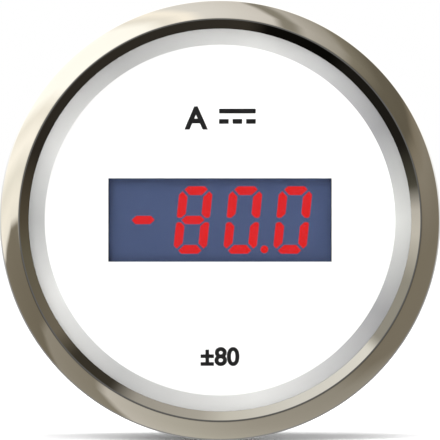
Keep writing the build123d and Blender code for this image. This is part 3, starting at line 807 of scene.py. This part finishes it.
# Cast acrylic, pale and glossy, with a polished rim.
CLEAR_ACRYLIC_BULK = Finish(
    "acrylic, cast clear",
    "#dfe6e6",
    "#cfd9d9",
    roughness=0.12,
    fine=Grain(0.4, swing=0.02),
    broad=Grain(8.0, tone=0.4),
    ior=1.49,
    coat=0.3,
)
# Glass-epoxy board under green solder mask, with the weave just showing through.
BOARD = Finish(
    "glass epoxy board, green solder mask",
    "#0f4a2b",
    "#0a3a20",
    roughness=0.32,
    fine=Grain(0.35, depth=0.006, swing=0.05, tone=0.5),
    broad=Grain(3.0, tone=0.4),
    ior=1.55,
    coat=0.25,
)
# Moulding compound of chips, dark grey and finely gritty.
CHIP_EPOXY = Finish(
    "epoxy, transfer moulded",
    "#1b1b1d",
    "#2a2a2c",
    roughness=0.55,
    fine=Grain(0.12, depth=0.006, swing=0.05, tone=0.3),
    broad=Grain(2.0, tone=0.3),
)
# Cream epoxy over the lamps, glossy and slightly cloudy.
LAMP_EPOXY = Finish(
    "epoxy, moulded cream",
    "#f1ecd2",
    "#e0d8b4",
    roughness=0.3,
    fine=Grain(0.2, swing=0.04, tone=0.2),
    broad=Grain(1.5, tone=0.3),
)
# Glazed alumina of small resistors, dark and glassy.
CERAMIC = Finish(
    "alumina, glazed black",
    "#2b2622",
    "#3b342d",
    roughness=0.35,
    fine=Grain(0.2, swing=0.06, tone=0.3),
    broad=Grain(1.0, tone=0.4),
)
# Tin plate, a soft white metal with dull patches.
TIN_PLATE = Finish(
    "tin plate on copper alloy",
    "#d4d3cf",
    "#aeaca6",
    roughness=0.26,
    metallic=1.0,
    fine=Grain(0.15, depth=0.002, swing=0.07, tone=0.25),
    broad=Grain(1.5, swing=0.05, tone=0.4),
)
# A flash of gold, warm and fairly bright.
GOLD_FLASH = Finish(
    "gold flash on copper alloy",
    "#e3bb62",
    "#c99a45",
    roughness=0.24,
    metallic=1.0,
    fine=Grain(0.15, swing=0.05, tone=0.2),
    broad=Grain(1.5, tone=0.3),
)
# Deep-drawn aluminium, even and bright, with faint drawing marks.
DRAWN_CAN = Finish(
    "aluminium, deep drawn can",
    "#cfd0d1",
    "#aeb0b2",
    roughness=0.28,
    metallic=1.0,
    fine=Grain(0.15, depth=0.002, swing=0.05, tone=0.2),
    broad=Grain(3.0, tone=0.4),
)
# Pressed ferrite, matt charcoal with a gritty face.
FERRITE = Finish(
    "ferrite, pressed",
    "#2c2d30",
    "#3d3e42",
    roughness=0.6,
    fine=Grain(0.15, depth=0.008, swing=0.05, tone=0.4),
    broad=Grain(1.5, tone=0.4),
)
# Float glass: clear head-on, and a mirror at a slant.
FLOAT_GLASS = ClearSheet("glass, float with ground edges", "#fdfdfd", ior=1.45, roughness=0.01)
# Thin acrylic pane whose satin face veils the display a little.
TINTED_PANE = TintedSheet(
    "acrylic, tinted slate with a satin face", "#47557c", cover=0.035, roughness=0.42
)
# Aluminium ring, spun satin, with painted highlights and painted shade round it in its base colour.
SILVER_RING = SpunSilver()
# Clear epoxy over a red lamp, which fills the segment with even light.
RED_SEGMENT = LitSegment("epoxy segment, lit red", glow="#ea1702", face=SLATE_FACE)

AnyFinish = Union[Finish, SpunSilver, ClearSheet, TintedSheet, LitSegment]


class Workshop:
    """Keeps one material for each finish and fixes finished pieces to the frame."""

    def __init__(self) -> None:
        """Starts with no material made."""
        self.materials: dict[str, bpy.types.Material] = {}

    def material(self, finish: AnyFinish) -> bpy.types.Material:
        """The material of a finish, made the first time it is asked for."""
        if finish.name not in self.materials:
            self.materials[finish.name] = finish.build()
        return self.materials[finish.name]

    def coat(self, piece: Piece, finish: AnyFinish) -> None:
        """Gives a whole piece one finish."""
        if not piece.material_slots:
            piece.data.materials.append(None)
        for slot in piece.material_slots:
            slot.material = self.material(finish)

    def fit(
        self,
        piece: Piece,
        body: str,
        finish: AnyFinish,
        replaced: Sequence[str] = (),
        crisp: float = 32,
    ) -> Piece:
        """Shades, coats and mounts a finished piece.

        Args:
            piece: The finished mesh.
            body: The CAD body that it rides on.
            finish: Its finish.
            replaced: The CAD nodes that it stands for.
            crisp: Angle in degrees past which an edge stays crisp.

        Returns:
            The piece.
        """
        settle(piece)
        shade(piece, crisp)
        self.coat(piece, finish)
        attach(piece, body)
        if replaced:
            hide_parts(*replaced)
        LOG.info("%s: %d faces, %s", piece.name, len(piece.data.polygons), finish.name)
        return piece


# ---- Front of the gauge -------------------------------------------------------------------------


@dataclass
class Bezel:
    """Polished ring of bent sheet, from its hem behind the flange to the lip on the glass.

    Attributes:
        sheet: Thickness of the sheet.
        hem_width: Width of the hem behind the flange.
        hem_run: Distance from the hem's corner at which its bend starts.
        band_width: Width of the band, seen from the front.
        band_rise: How far the crest stands in front of the shoulder.
        knee_in: How far in from the rim the knee is.
        knee_rise: How far the knee stands in front of the shoulder.
        shoulder_run: Distance from the shoulder at which its bend starts.
        knee_run: Distance from the knee at which its bend starts.
        funnel_width: Width of the slope inside the crest.
        funnel_depth: Depth of that slope.
        crest_run: Distance from the crest at which its bend starts.
        steps: Faces round the ring.
    """

    sheet: float = 0.5
    hem_width: float = 2.4
    hem_run: float = 0.9
    band_width: float = 2.7
    band_rise: float = 3.2
    knee_in: float = 0.9
    knee_rise: float = 1.7
    shoulder_run: float = 0.55
    knee_run: float = 0.95
    funnel_width: float = 1.3
    funnel_depth: float = 0.9
    crest_run: float = 0.16
    steps: int = 360

    def skin(self) -> list[Point]:
        """The outer skin from the hem to the lip, as (radius, depth)."""
        _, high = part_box("bezel")
        radius, rear = high.x / MM, high.y / MM
        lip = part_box("bezel_seal")[0].y / MM
        crest = lip - self.funnel_depth
        shoulder = crest + self.band_rise
        return [
            (radius - self.hem_width, rear),
            (radius, rear),
            (radius, shoulder),
            (radius - self.knee_in, shoulder - self.knee_rise),
            (radius - self.band_width, crest),
            (radius - self.band_width - self.funnel_width, lip),
        ]

    def make(self, shop: Workshop) -> None:
        """Turns the skin, gives it the sheet's thickness and polishes it."""
        runs = {1: self.hem_run, 2: self.shoulder_run, 3: self.knee_run, 4: self.crest_run}
        ring = Turning("bezel_ring", self.skin(), runs, False, self.steps, arc_faces=8).make()
        settings = {"offset": -1, "use_even_offset": True, "use_rim": True}
        apply_modifier(ring, "SOLIDIFY", thickness=self.sheet * MM, **settings)
        shop.fit(ring, "gauge", POLISHED_STAINLESS, ["bezel"], crisp=40)


@dataclass
class Glass:
    """Flat glass disc with ground edges.

    Attributes:
        ground_edge: Width of each ground edge.
    """

    ground_edge: float = 0.2

    def make(self, shop: Workshop) -> None:
        """Turns the disc with its two bevels."""
        low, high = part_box("lens")
        radius, front, rear = high.x / MM, low.y / MM, high.y / MM
        edge = self.ground_edge
        section = [
            (0, front),
            (radius - edge, front),
            (radius, front + edge),
            (radius, rear - edge),
            (radius - edge, rear),
            (0, rear),
        ]
        disc = Turning("glass_disc", section, closed=False, steps=192).make()
        shop.fit(disc, "gauge", FLOAT_GLASS, ["lens"], crisp=20)


@dataclass
class SatinRing:
    """Silver ring that slopes from the glass in to the dial.

    Attributes:
        foot: Height of its inner edge over the dial.
        width: Width of the slope that shows.
        clearance: How far the slope's top lies outside the bezel's lip.
        edge_run: Distance from an edge at which its rounding starts.
    """

    foot: float = 0.25
    width: float = 2.1
    clearance: float = 0.05
    edge_run: float = 0.12

    def make(self, shop: Workshop) -> None:
        """Turns the ring with its visible edges broken."""
        low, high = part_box("trim_ring")
        outer, top, dial = high.x / MM, low.y / MM, high.y / MM
        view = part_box("bezel")[1].x / MM - Bezel.band_width - Bezel.funnel_width
        section = [
            (view - self.width, dial),
            (outer, dial),
            (outer, top),
            (view + self.clearance, top),
            (view - self.width, dial - self.foot),
        ]
        ring = Turning("satin_ring", section, {3: self.edge_run, 4: self.edge_run}).make()
        shop.fit(ring, "gauge", SILVER_RING, ["trim_ring"], crisp=25)


@dataclass
class DialPrint:
    """Black marks printed on the dial: the unit with its direct-current sign, and the range.

    Attributes:
        unit_height: Height of the unit's letter.
        unit_centre: Height of its middle over the dial's.
        sign_width: Width of the direct-current sign.
        sign_bar: Thickness of its bar and dashes.
        sign_gap: Distance between the bar and the dashes.
        sign_space: Distance from the letter to the sign.
        sign_corner: Width of the bars' rounded corners.
        dash_share: Width of a dash as a share of the sign.
        range_height: Height of the range's figures.
        range_centre: Height of their middle over the dial's.
        ink: Thickness of the ink.
        weight: How much bolder than the plain face, as a share of the height.
        cap_share: Height of a capital as a share of the type's size.
    """

    unit_height: float = 3.36
    unit_centre: float = 13.9
    sign_width: float = 5.0
    sign_bar: float = 0.66
    sign_gap: float = 0.75
    sign_space: float = 1.5
    sign_corner: float = 0.06
    dash_share: float = 1 / 3.8
    range_height: float = 2.7
    range_centre: float = -18.6
    ink: float = 0.02
    weight: float = 0.042
    cap_share: float = 0.73

    def lettering(self, name: str, words: str, height: float) -> Piece:
        """Types upright characters in the dial's plane, centred on the axis.

        Args:
            name: Name of the piece.
            words: The characters.
            height: Height of a capital.

        Returns:
            The flat mesh, facing the reader.
        """
        clear_bench()
        bpy.ops.object.text_add(location=(0, 0, 0), rotation=(math.pi / 2, 0, 0))
        piece = bpy.context.object
        piece.name = name
        piece.data.body = words
        piece.data.size = height * (1 - 2 * self.weight) / self.cap_share * MM
        piece.data.offset = self.weight * height * MM
        piece.data.align_x = "CENTER"
        piece.data.extrude = self.ink / 2 * MM
        bpy.ops.object.convert(target="MESH")
        settle(piece)
        return piece

    def bar(self, name: str, width: float, centre: float, level: float) -> Piece:
        """A printed bar of the direct-current sign, with its corners just rounded."""
        clear_bench()
        bpy.ops.mesh.primitive_cube_add(size=1, location=(centre * MM, 0, level * MM))
        piece = bpy.context.object
        piece.name = name
        piece.scale = (width * MM, self.ink * MM, self.sign_bar * MM)
        settle(piece)
        with editing(piece, Element.EDGE):
            pick(piece, Element.EDGE, lambda at, along: round(abs(along.y)) == 1)
            bpy.ops.mesh.bevel(offset=self.sign_corner * MM, segments=3, affect="EDGES")
        return piece

    def sign(self, left: float) -> list[Piece]:
        """The direct-current sign: a long bar over three dashes, from its left edge."""
        middle = left + self.sign_width / 2
        rise = (self.sign_bar + self.sign_gap) / 2
        dash = self.sign_width * self.dash_share
        step = (self.sign_width - dash) / 2
        bars = [self.bar("sign_bar", self.sign_width, middle, rise)]
        for place in (-1, 0, 1):
            bars.append(self.bar("sign_dash", dash, middle + place * step, -rise))
        for bar in bars:
            bar.location.z = self.unit_height / 2 * MM
            settle(bar)
        return bars

    def place(self, piece: Piece, x: float, z: float) -> None:
        """Moves a flat mark so that its middle is at (x, z) on the dial's face."""
        corners = [Vector(c) for c in piece.bound_box]
        middle = (Vector(map(min, *corners)) + Vector(map(max, *corners))) / 2
        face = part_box("dial")[0].y
        piece.location = Vector((x * MM, face - self.ink / 2 * MM, z * MM)) - middle
        settle(piece)

    def join(self, pieces: Sequence[Piece], name: str) -> Piece:
        """Joins several marks into one piece."""
        focus(pieces[0])
        for piece in pieces[1:]:
            piece.select_set(True)
        bpy.ops.object.join()
        bpy.context.object.name = name
        return bpy.context.object

    def make(self, shop: Workshop) -> None:
        """Prints the unit at the top and the range at the bottom."""
        letter = self.lettering("unit_letter", "A", self.unit_height)
        left = letter.dimensions.x / MM / 2 + self.sign_space
        unit = self.join([letter, *self.sign(left)], "dial_unit_mark")
        self.place(unit, 0, self.unit_centre)
        numbers = self.lettering("dial_range_mark", "±80", self.range_height)
        self.place(numbers, 0, self.range_centre)
        for mark in (unit, numbers):
            shop.fit(mark, "gauge", BLACK_INK)


@dataclass
class LitDigits:
    """The lit segments, each with a rim that fades into the display's face.

    Attributes:
        spread: How far the light spreads past each segment.
        rim: Width of the fading rim.
        lift: How far the faces stand off the segments.
        front_within: How close a face is to the front when it is kept.
    """

    spread: float = 0.12
    rim: float = 0.26
    lift: float = 0.02
    front_within: float = 0.01

    def make(self, shop: Workshop) -> None:
        """Takes the segments' faces, widens them and marks the rims."""
        piece = copy_node("lit_digits", "lit_segments")
        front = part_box("lit_segments")[0].y / MM
        with editing(piece, Element.FACE):
            behind = front + self.front_within
            pick(piece, Element.FACE, lambda at, normal: at.y > behind)
            bpy.ops.mesh.delete(type="FACE")
            bpy.ops.mesh.select_all(action="SELECT")
            bpy.ops.mesh.inset(thickness=self.spread * MM, use_outset=True, use_boundary=True)
            bpy.ops.mesh.select_all(action="SELECT")
            bpy.ops.mesh.dissolve_limited(angle_limit=FLAT_WITHIN)
            bpy.ops.mesh.select_all(action="SELECT")
            bpy.ops.mesh.inset(thickness=self.rim * MM, use_boundary=True)
        mesh = piece.data
        uses = Counter(key for polygon in mesh.polygons for key in polygon.edge_keys)
        on_edge = {corner for key, count in uses.items() if count == 1 for corner in key}
        fade = mesh.attributes.new(RED_SEGMENT.attribute, "FLOAT", "POINT")
        values = [0.0 if corner in on_edge else 1.0 for corner in range(len(mesh.vertices))]
        fade.data.foreach_set("value", values)
        piece.location.y = -self.lift * MM
        shop.fit(piece, "gauge", RED_SEGMENT, ["lit_segments"])


# ---- Behind the panel ---------------------------------------------------------------------------


@dataclass
class Gasket:
    """Rubber ring between the bezel and the panel.

    Attributes:
        bore: Radius of its hole.
        edge_run: Distance from an edge at which its rounding starts.
    """

    bore: float = 26.7
    edge_run: float = 0.25

    def make(self, shop: Workshop) -> None:
        """Turns the ring with rounded edges."""
        low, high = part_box("panel_gasket")
        outer, front, rear = high.x / MM, low.y / MM, high.y / MM
        section = [(self.bore, front), (outer, front), (outer, rear), (self.bore, rear)]
        runs = {2: self.edge_run, 3: self.edge_run}
        ring = Turning("gasket_ring", section, runs, steps=192).make()
        shop.fit(ring, "gauge", RUBBER, ["panel_gasket"])


@dataclass
class Softened:
    """A CAD piece with the small radii that moulding, bending or plating leaves on its edges.

    Attributes:
        node: The CAD node.
        body: The CAD body that it rides on.
        slot: The record's material slot. Not used.
        finish: Its finish.
        radius: Radius on its edges.
        segments: Faces across the radius.
        crisp: Angle in degrees past which an edge stays crisp.
    """

    node: str
    body: str
    slot: str
    finish: AnyFinish
    radius: float
    segments: int = 2
    crisp: float = 32

    def make(self, shop: Workshop) -> None:
        """Copies the node, rounds its edges and mounts it."""
        piece = copy_node(self.node + "_finished", self.node)
        soften(piece, self.radius, self.segments)
        shop.fit(piece, self.body, self.finish, [self.node], crisp=self.crisp)


@dataclass
class ThreadedStud:
    """Stud with a cut thread and a chamfered tip.

    Attributes:
        side: Which of the two studs it is.
        radius: Outer radius of the thread.
        pitch: Distance from one crest to the next.
        depth_share: Depth of the thread as a share of its pitch.
        root_share: Cut in the middle of a root, in depths. Past 1 it gives the root its flat.
        flank_slope: How fast the flanks rise, in depths for each pitch.
        rows_per_turn: Rows of faces along one pitch.
        faces_round: Faces round the rod.
        chamfer: Width of the tip's chamfer.
        head_height: Thickness of the hexagon head inside the case.
        head_across: Width of the head across its flats.
        head_edge: Width of the rounding on the head.
    """

    side: str
    radius: float = 2.0
    pitch: float = 0.7
    depth_share: float = 0.54
    root_share: float = 1.25
    flank_slope: float = 3.2
    rows_per_turn: int = 8
    faces_round: int = 36
    chamfer: float = 0.5
    head_height: float = 2.8
    head_across: float = 7.0
    head_edge: float = 0.15

    def cut(self, along: float, turn: float) -> float:
        """How deep the thread is at a distance along the rod and a share of a turn round it."""
        phase = (along / self.pitch + turn) % 1.0
        share = self.root_share - self.flank_slope * abs(phase - 0.5)
        return self.depth_share * self.pitch * min(max(share, 0.0), 1.0)

    def make(self, shop: Workshop) -> None:
        """Draws a rod out in rows, then cuts the helix into it."""
        node = self.side + "_stud"
        low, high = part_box(node)
        x = (low.x + high.x) / 2 / MM
        start, end = low.y / MM + self.head_height, high.y / MM
        rows = round((end - start) / self.pitch * self.rows_per_turn)
        clear_bench()
        bpy.ops.mesh.primitive_circle_add(
            vertices=self.faces_round,
            radius=self.radius * MM,
            fill_type="NGON",
            location=(0, start * MM, 0),
            rotation=(math.pi / 2, 0, 0),
        )
        rod = bpy.context.object
        rod.name = self.side + "_stud_threaded"
        settle(rod)
        with editing(rod, Element.FACE):
            for _ in range(rows):
                bpy.ops.mesh.extrude_region_move(
                    TRANSFORM_OT_translate={"value": (0, (end - start) / rows * MM, 0)}
                )
        for vertex in rod.data.vertices:
            at = vertex.co / MM
            reach = self.radius - self.cut(at.y - start, math.atan2(at.z, at.x) / math.tau)
            tip = self.radius - self.chamfer
            share = min(reach, max(tip + (end - at.y), tip)) / self.radius
            vertex.co.x *= share
            vertex.co.z *= share
        rod.location.x = x * MM
        settle(rod)
        head = self.head(x, low.y / MM)
        focus(rod)
        head.select_set(True)
        bpy.ops.object.join()
        shop.fit(rod, "gauge", ZINC_HARDWARE, [node], crisp=25)

    def head(self, x: float, front: float) -> Piece:
        """The hexagon head inside the case."""
        clear_bench()
        bpy.ops.mesh.primitive_cylinder_add(
            vertices=6,
            radius=self.head_across / math.sqrt(3) * MM,
            depth=self.head_height * MM,
            location=(x * MM, (front + self.head_height / 2) * MM, 0),
            rotation=(math.pi / 2, 0, 0),
        )
        head = bpy.context.object
        settle(head)
        soften(head, self.head_edge)
        return head


# ---- Carried-over nodes -------------------------------------------------------------------------

INNER_FINISHES: dict[str, AnyFinish] = {
    "bezel_seal": RUBBER,
    "front_frame": BLACK_ABS,
    "lens_gasket": RUBBER,
    "dial": PRINTED_WHITE,
    "display_window": TINTED_PANE,
    "light_guide": CLEAR_ACRYLIC_BULK,
    "light_box": WHITE_ABS,
    "display_body": DISPLAY_FACE,
    "unlit_segments": DISPLAY_FACE,
    "display_pins": TIN_PLATE,
    "front_board": BOARD,
    "backlight_leds": LAMP_EPOXY,
    "display_driver": CHIP_EPOXY,
    "segment_resistors": CERAMIC,
    "board_screws": ZINC_HARDWARE,
    "standoffs": TURNED_BRASS,
    "link_pins": GOLD_FLASH,
    "link_insulators": BLACK_NYLON,
    "rear_board": BOARD,
    "microcontroller": CHIP_EPOXY,
    "crystal": DRAWN_CAN,
    "sense_amplifier": CHIP_EPOXY,
    "voltage_regulator": CHIP_EPOXY,
    "electrolytic_capacitors": DRAWN_CAN,
    "power_inductor": FERRITE,
    "surge_suppressor": CHIP_EPOXY,
    "rear_passives": CERAMIC,
    "power_header_seal": SILICONE,
    "sensor_header_seal": SILICONE,
}


def softened_pieces() -> list[Softened]:
    """The outer pieces that keep their CAD shape and get worked edges."""
    pieces = [
        Softened("case", "gauge", "case_plastic", BLACK_ABS, radius=0.25, segments=3),
        Softened("power_header", "gauge", "black_nylon", BLACK_NYLON, radius=0.15),
        Softened("sensor_header", "gauge", "natural_nylon", NATURAL_NYLON, radius=0.15),
        Softened("power_contacts", "gauge", "tinned_metal", TIN_PLATE, radius=0.18),
        Softened("sensor_contacts", "gauge", "tinned_metal", TIN_PLATE, radius=0.18),
        Softened("clamp_bracket", "clamp", "clamp_steel", ZINC_STRIP, radius=0.18),
    ]
    for side in ("left", "right"):
        for kind, radius in (("_flat_washer", 0.1), ("_spring_washer", 0.12)):
            pieces.append(Softened(side + kind, "clamp", "zinc_steel", ZINC_HARDWARE, radius))
        nut = Softened(side + "_thumb_nut", side + "_nut", "nut_brass", TURNED_BRASS, radius=0.06)
        pieces.append(nut)
    return pieces


# ---- Studio -------------------------------------------------------------------------------------


@dataclass(frozen=True)
class Card:
    """One light or dark card that stands round the gauge.

    Attributes:
        angle: Where it starts, in degrees anticlockwise from the right.
        tone: Its colour.
    """

    angle: float
    tone: str


SIDE_CARDS = (
    Card(0, "#766f62"),
    Card(14, "#80796c"),
    Card(22, "#776f60"),
    Card(27, "#5a5447"),
    Card(40, "#5f594c"),
    Card(52, "#7a7466"),
    Card(56, "#948f84"),
    Card(68, "#aca79e"),
    Card(71, "#807b6f"),
    Card(75, "#807b6f"),
    Card(77, "#c4bfb8"),
    Card(97, "#d4d1cb"),
    Card(102, "#f3ecdf"),
    Card(108, "#dfdacf"),
    Card(114, "#faf8f0"),
    Card(142, "#fcfaf2"),
    Card(150, "#e6e1d5"),
    Card(159, "#f4efe4"),
    Card(168, "#dedace"),
    Card(176, "#ebe6da"),
    Card(182, "#e3ded3"),
    Card(184, "#746d5f"),
    Card(212, "#6b6456"),
    Card(215, "#888276"),
    Card(235, "#7f796c"),
    Card(239, "#b6b1a8"),
    Card(258, "#a7a398"),
    Card(282, "#948f84"),
    Card(306, "#8a857a"),
    Card(318, "#726b5e"),
    Card(352, "#736c5e"),
)
FRONT_CARDS = (
    Card(0, "#4b4437"),
    Card(10, "#5a5547"),
    Card(34, "#665f52"),
    Card(43, "#332f27"),
    Card(57, "#332f27"),
    Card(65, "#96928a"),
    Card(84, "#a19d94"),
    Card(92, "#bcb9b0"),
    Card(112, "#cac8c2"),
    Card(139, "#d4d2cb"),
    Card(143, "#8a877e"),
    Card(162, "#8a877d"),
    Card(176, "#bab6ad"),
    Card(183, "#b2aea6"),
    Card(190, "#45433a"),
    Card(202, "#1c1a17"),
    Card(230, "#181714"),
    Card(236, "#080806"),
    Card(256, "#0c0b09"),
    Card(262, "#302c26"),
    Card(280, "#2c2924"),
    Card(340, "#2a2621"),
)


@dataclass(frozen=True)
class Lamp:
    """One soft square lamp.

    Attributes:
        name: Its name.
        place: Where it hangs, in metres.
        size: Its width in metres.
        power: Its power in watts.
    """

    name: str
    place: tuple[float, float, float]
    size: float
    power: float


LAMPS = (
    Lamp("key_lamp", (-0.35, -0.7, 0.45), size=0.5, power=5.0),
    Lamp("top_lamp", (0.1, 0.3, 0.7), size=0.5, power=4.0),
    Lamp("side_lamp", (0.7, 0.1, 0.25), size=0.4, power=2.0),
)


@dataclass
class Studio:
    """White room with cards round the gauge, soft lamps, a pale floor and a long lens.

    Attributes:
        card_strength: Strength of the cards in mirrors.
        card_lean: How far the side cards lean, in turns from the side to the front.
        room: Strength of the white that the camera sees.
        fill: Strength of the even light on matt surfaces.
        front_edges: Angles from the front, in degrees, between which the front cards give way
            to the side cards.
        blank_edges: Angles between which the blank middle gives way to the cards.
        blank_tone: Tone of the blank middle.
        rear_edges: Angles between which the cards give way to the even room behind the gauge.
        rear_room: Height from 0 below to 1 above, with the tone of that room there.
        floor_radius: Radius of the floor in metres.
        floor_cloud: Scale of the floor's slow unevenness.
        floor_tones: Darkest and lightest tone of the floor.
        floor_roughness: Roughness of the floor.
        camera_distance: Distance from the dial's plane to the camera.
        frame_width: Width of what the camera sees in that plane.
        sensor: Width of the camera's sensor.
        clip: Nearest and farthest distance that the camera sees, in metres.
    """

    card_strength: float = 1.46
    card_lean: float = 0.035
    room: float = 1.0
    fill: float = 1.18
    front_edges: tuple[float, float] = (72.5, 76.5)
    blank_edges: tuple[float, float] = (40.0, 52.0)
    blank_tone: str = "#5c5c5c"
    rear_edges: tuple[float, float] = (130.0, 140.0)
    rear_room: tuple[tuple[float, str], ...] = (
        (0.0, "#6e6e6e"),
        (0.42, "#8c8c8c"),
        (0.5, "#c8c8c8"),
        (0.62, "#fbfbfb"),
        (1.0, "#ffffff"),
    )
    floor_radius: float = 12.0
    floor_cloud: float = 3.0
    floor_tones: tuple[float, float] = (0.95, 0.97)
    floor_roughness: float = 0.5
    camera_distance: float = 1200.0
    frame_width: float = 60.08
    sensor: float = 36.0
    clip: tuple[float, float] = (0.05, 60.0)

    def ring_of_cards(self, tree: Tree, turn: Socket, cards: Sequence[Card]) -> Socket:
        """Lays cards round the axis and returns the colour seen in each direction."""
        ramp = add_node(tree, "ShaderNodeValToRGB", {"Fac": turn})
        stops = [(card.angle / 360, linear(card.tone)) for card in cards]
        set_stops(ramp.color_ramp, stops + [(1.0, linear(cards[0].tone))])
        return ramp.outputs["Color"]

    def crossing(
        self,
        tree: Tree,
        depth: Socket,
        edges: tuple[float, float],
        within: Setting,
        beyond: Setting,
    ) -> Socket:
        """Goes from one colour to another between two angles from the front.

        Args:
            tree: The world's tree.
            depth: The direction's Y part.
            edges: The two angles in degrees.
            within: The colour inside the first angle.
            beyond: The colour outside the second.

        Returns:
            The colour in each direction.
        """
        near, far = (-math.cos(math.radians(edge)) for edge in edges)
        inputs = {"Value": depth, "From Min": near, "From Max": far}
        share = add_node(tree, "ShaderNodeMapRange", inputs).outputs["Result"]
        inputs = {"Factor": share, 6: within, 7: beyond}
        return add_node(tree, "ShaderNodeMix", inputs, data_type="RGBA").outputs[2]

    def reflected(self, tree: Tree) -> Socket:
        """The colour that a mirror shows in each direction.

        Args:
            tree: The world's tree.

        Returns:
            Cards in front and at the sides, a blank middle and an even room behind.
        """
        toward = add_node(tree, "ShaderNodeTexCoord").outputs["Generated"]
        split = add_node(tree, "ShaderNodeSeparateXYZ", {"Vector": toward})
        x, y, z = (split.outputs[axis] for axis in "XYZ")
        angle = add_node(tree, "ShaderNodeMath", {0: z, 1: x}, operation="ARCTAN2").outputs[0]
        share = add_node(tree, "ShaderNodeMath", {0: angle, 1: math.tau}, operation="DIVIDE")
        inputs = {0: y, 1: -self.card_lean, 2: share.outputs[0]}
        leaning = add_node(tree, "ShaderNodeMath", inputs, operation="MULTIPLY_ADD")
        rings = []
        for turns, cards in ((share, FRONT_CARDS), (leaning, SIDE_CARDS)):
            turn = add_node(tree, "ShaderNodeMath", {0: turns.outputs[0]}, operation="FRACT")
            rings.append(self.ring_of_cards(tree, turn.outputs[0], cards))
        cards = self.crossing(tree, y, self.front_edges, *rings)
        inputs = {"Value": z, "From Min": -1.0, "From Max": 1.0}
        height = add_node(tree, "ShaderNodeMapRange", inputs).outputs["Result"]
        ramp = add_node(tree, "ShaderNodeValToRGB", {"Fac": height})
        set_stops(ramp.color_ramp, [(place, linear(tone)) for place, tone in self.rear_room])
        around = self.crossing(tree, y, self.rear_edges, cards, ramp.outputs["Color"])
        return self.crossing(tree, y, self.blank_edges, linear(self.blank_tone), around)

    def light_room(self) -> None:
        """Makes the world: white to the camera, even to matt surfaces, cards in mirrors."""
        world = bpy.data.worlds.new("studio")
        bpy.context.scene.world = world
        world.use_nodes = True
        tree = world.node_tree
        tree.nodes.clear()
        plain, cards = linear("#ffffff"), self.reflected(tree)
        sources = []
        for colour, strength in (
            (plain, self.room),
            (plain, self.fill),
            (cards, self.card_strength),
        ):
            inputs = {"Color": colour, "Strength": strength}
            sources.append(add_node(tree, "ShaderNodeBackground", inputs).outputs[0])
        white, even, mirrored = sources
        path = add_node(tree, "ShaderNodeLightPath")
        inputs = {0: path.outputs["Is Glossy Ray"], 1: even, 2: mirrored}
        lit = add_node(tree, "ShaderNodeMixShader", inputs).outputs[0]
        inputs = {0: path.outputs["Is Camera Ray"], 1: lit, 2: white}
        seen = add_node(tree, "ShaderNodeMixShader", inputs).outputs[0]
        output = add_node(tree, "ShaderNodeOutputWorld", {"Surface": seen})
        output.is_active_output = True

    def lay_floor(self, level: float) -> None:
        """Lays the pale floor at a level in metres."""
        clear_bench()
        bpy.ops.mesh.primitive_circle_add(
            vertices=96, radius=self.floor_radius, fill_type="NGON", location=(0, 0, level)
        )
        floor = bpy.context.object
        floor.name = "studio_floor"
        settle(floor)
        material, tree, output = new_material("painted board, pale")
        place = add_node(tree, "ShaderNodeTexCoord").outputs["Object"]
        inputs = {"Vector": place, "Scale": self.floor_cloud}
        cloud = add_node(tree, "ShaderNodeTexNoise", inputs).outputs["Fac"]
        dark, light = self.floor_tones
        inputs = {"Value": cloud, "To Min": dark, "To Max": light}
        tone = add_node(tree, "ShaderNodeMapRange", inputs).outputs["Result"]
        inputs = {"Color": tone, "Roughness": self.floor_roughness}
        shader = add_node(tree, "ShaderNodeBsdfDiffuse", inputs)
        tree.links.new(shader.outputs[0], output.inputs["Surface"])
        floor.data.materials.append(material)
        floor.visible_glossy = False
        floor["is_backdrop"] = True

    def hang_lamp(self, lamp: Lamp) -> None:
        """Hangs a lamp that faces the gauge and doesn't show in mirrors."""
        clear_bench()
        place = Vector(lamp.place)
        bpy.ops.object.light_add(type="AREA", location=place)
        light = bpy.context.object
        light.name = lamp.name
        light.data.size = lamp.size
        light.data.energy = lamp.power
        light.rotation_euler = (-place).to_track_quat("-Z", "Y").to_euler()
        light.visible_glossy = False

    def set_camera(self) -> None:
        """Stands the camera square to the dial, with the bezel filling the frame."""
        clear_bench()
        bpy.ops.object.camera_add(
            location=(0, -self.camera_distance * MM, 0), rotation=(math.pi / 2, 0, 0)
        )
        camera = bpy.context.object
        camera.data.sensor_width = self.sensor
        camera.data.lens = self.sensor * self.camera_distance / self.frame_width
        camera.data.clip_start, camera.data.clip_end = self.clip
        bpy.context.scene.camera = camera

    def make(self, level: float) -> None:
        """Sets up the room, floor, lamps and camera."""
        self.light_room()
        self.lay_floor(level)
        for lamp in LAMPS:
            self.hang_lamp(lamp)
        self.set_camera()
        bpy.context.scene.view_settings.view_transform = "Standard"


# ---- Assembly -----------------------------------------------------------------------------------


def main() -> None:
    """Loads the frame, makes every piece and sets up the studio."""
    logging.basicConfig(level=logging.INFO, format="%(name)s: %(message)s")
    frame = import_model()
    low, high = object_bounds()
    shop = Workshop()
    for part in (Bezel(), Glass(), SatinRing(), DialPrint(), LitDigits(), Gasket()):
        part.make(shop)
    for part in softened_pieces():
        part.make(shop)
    for side in ("left", "right"):
        ThreadedStud(side).make(shop)
    for node, finish in INNER_FINISHES.items():
        shop.coat(frame["nodes"][node], finish)
        LOG.info("%s: %s", node, finish.name)
    Studio().make(low.z)
    low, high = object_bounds()


if __name__ == "__main__":
    main()
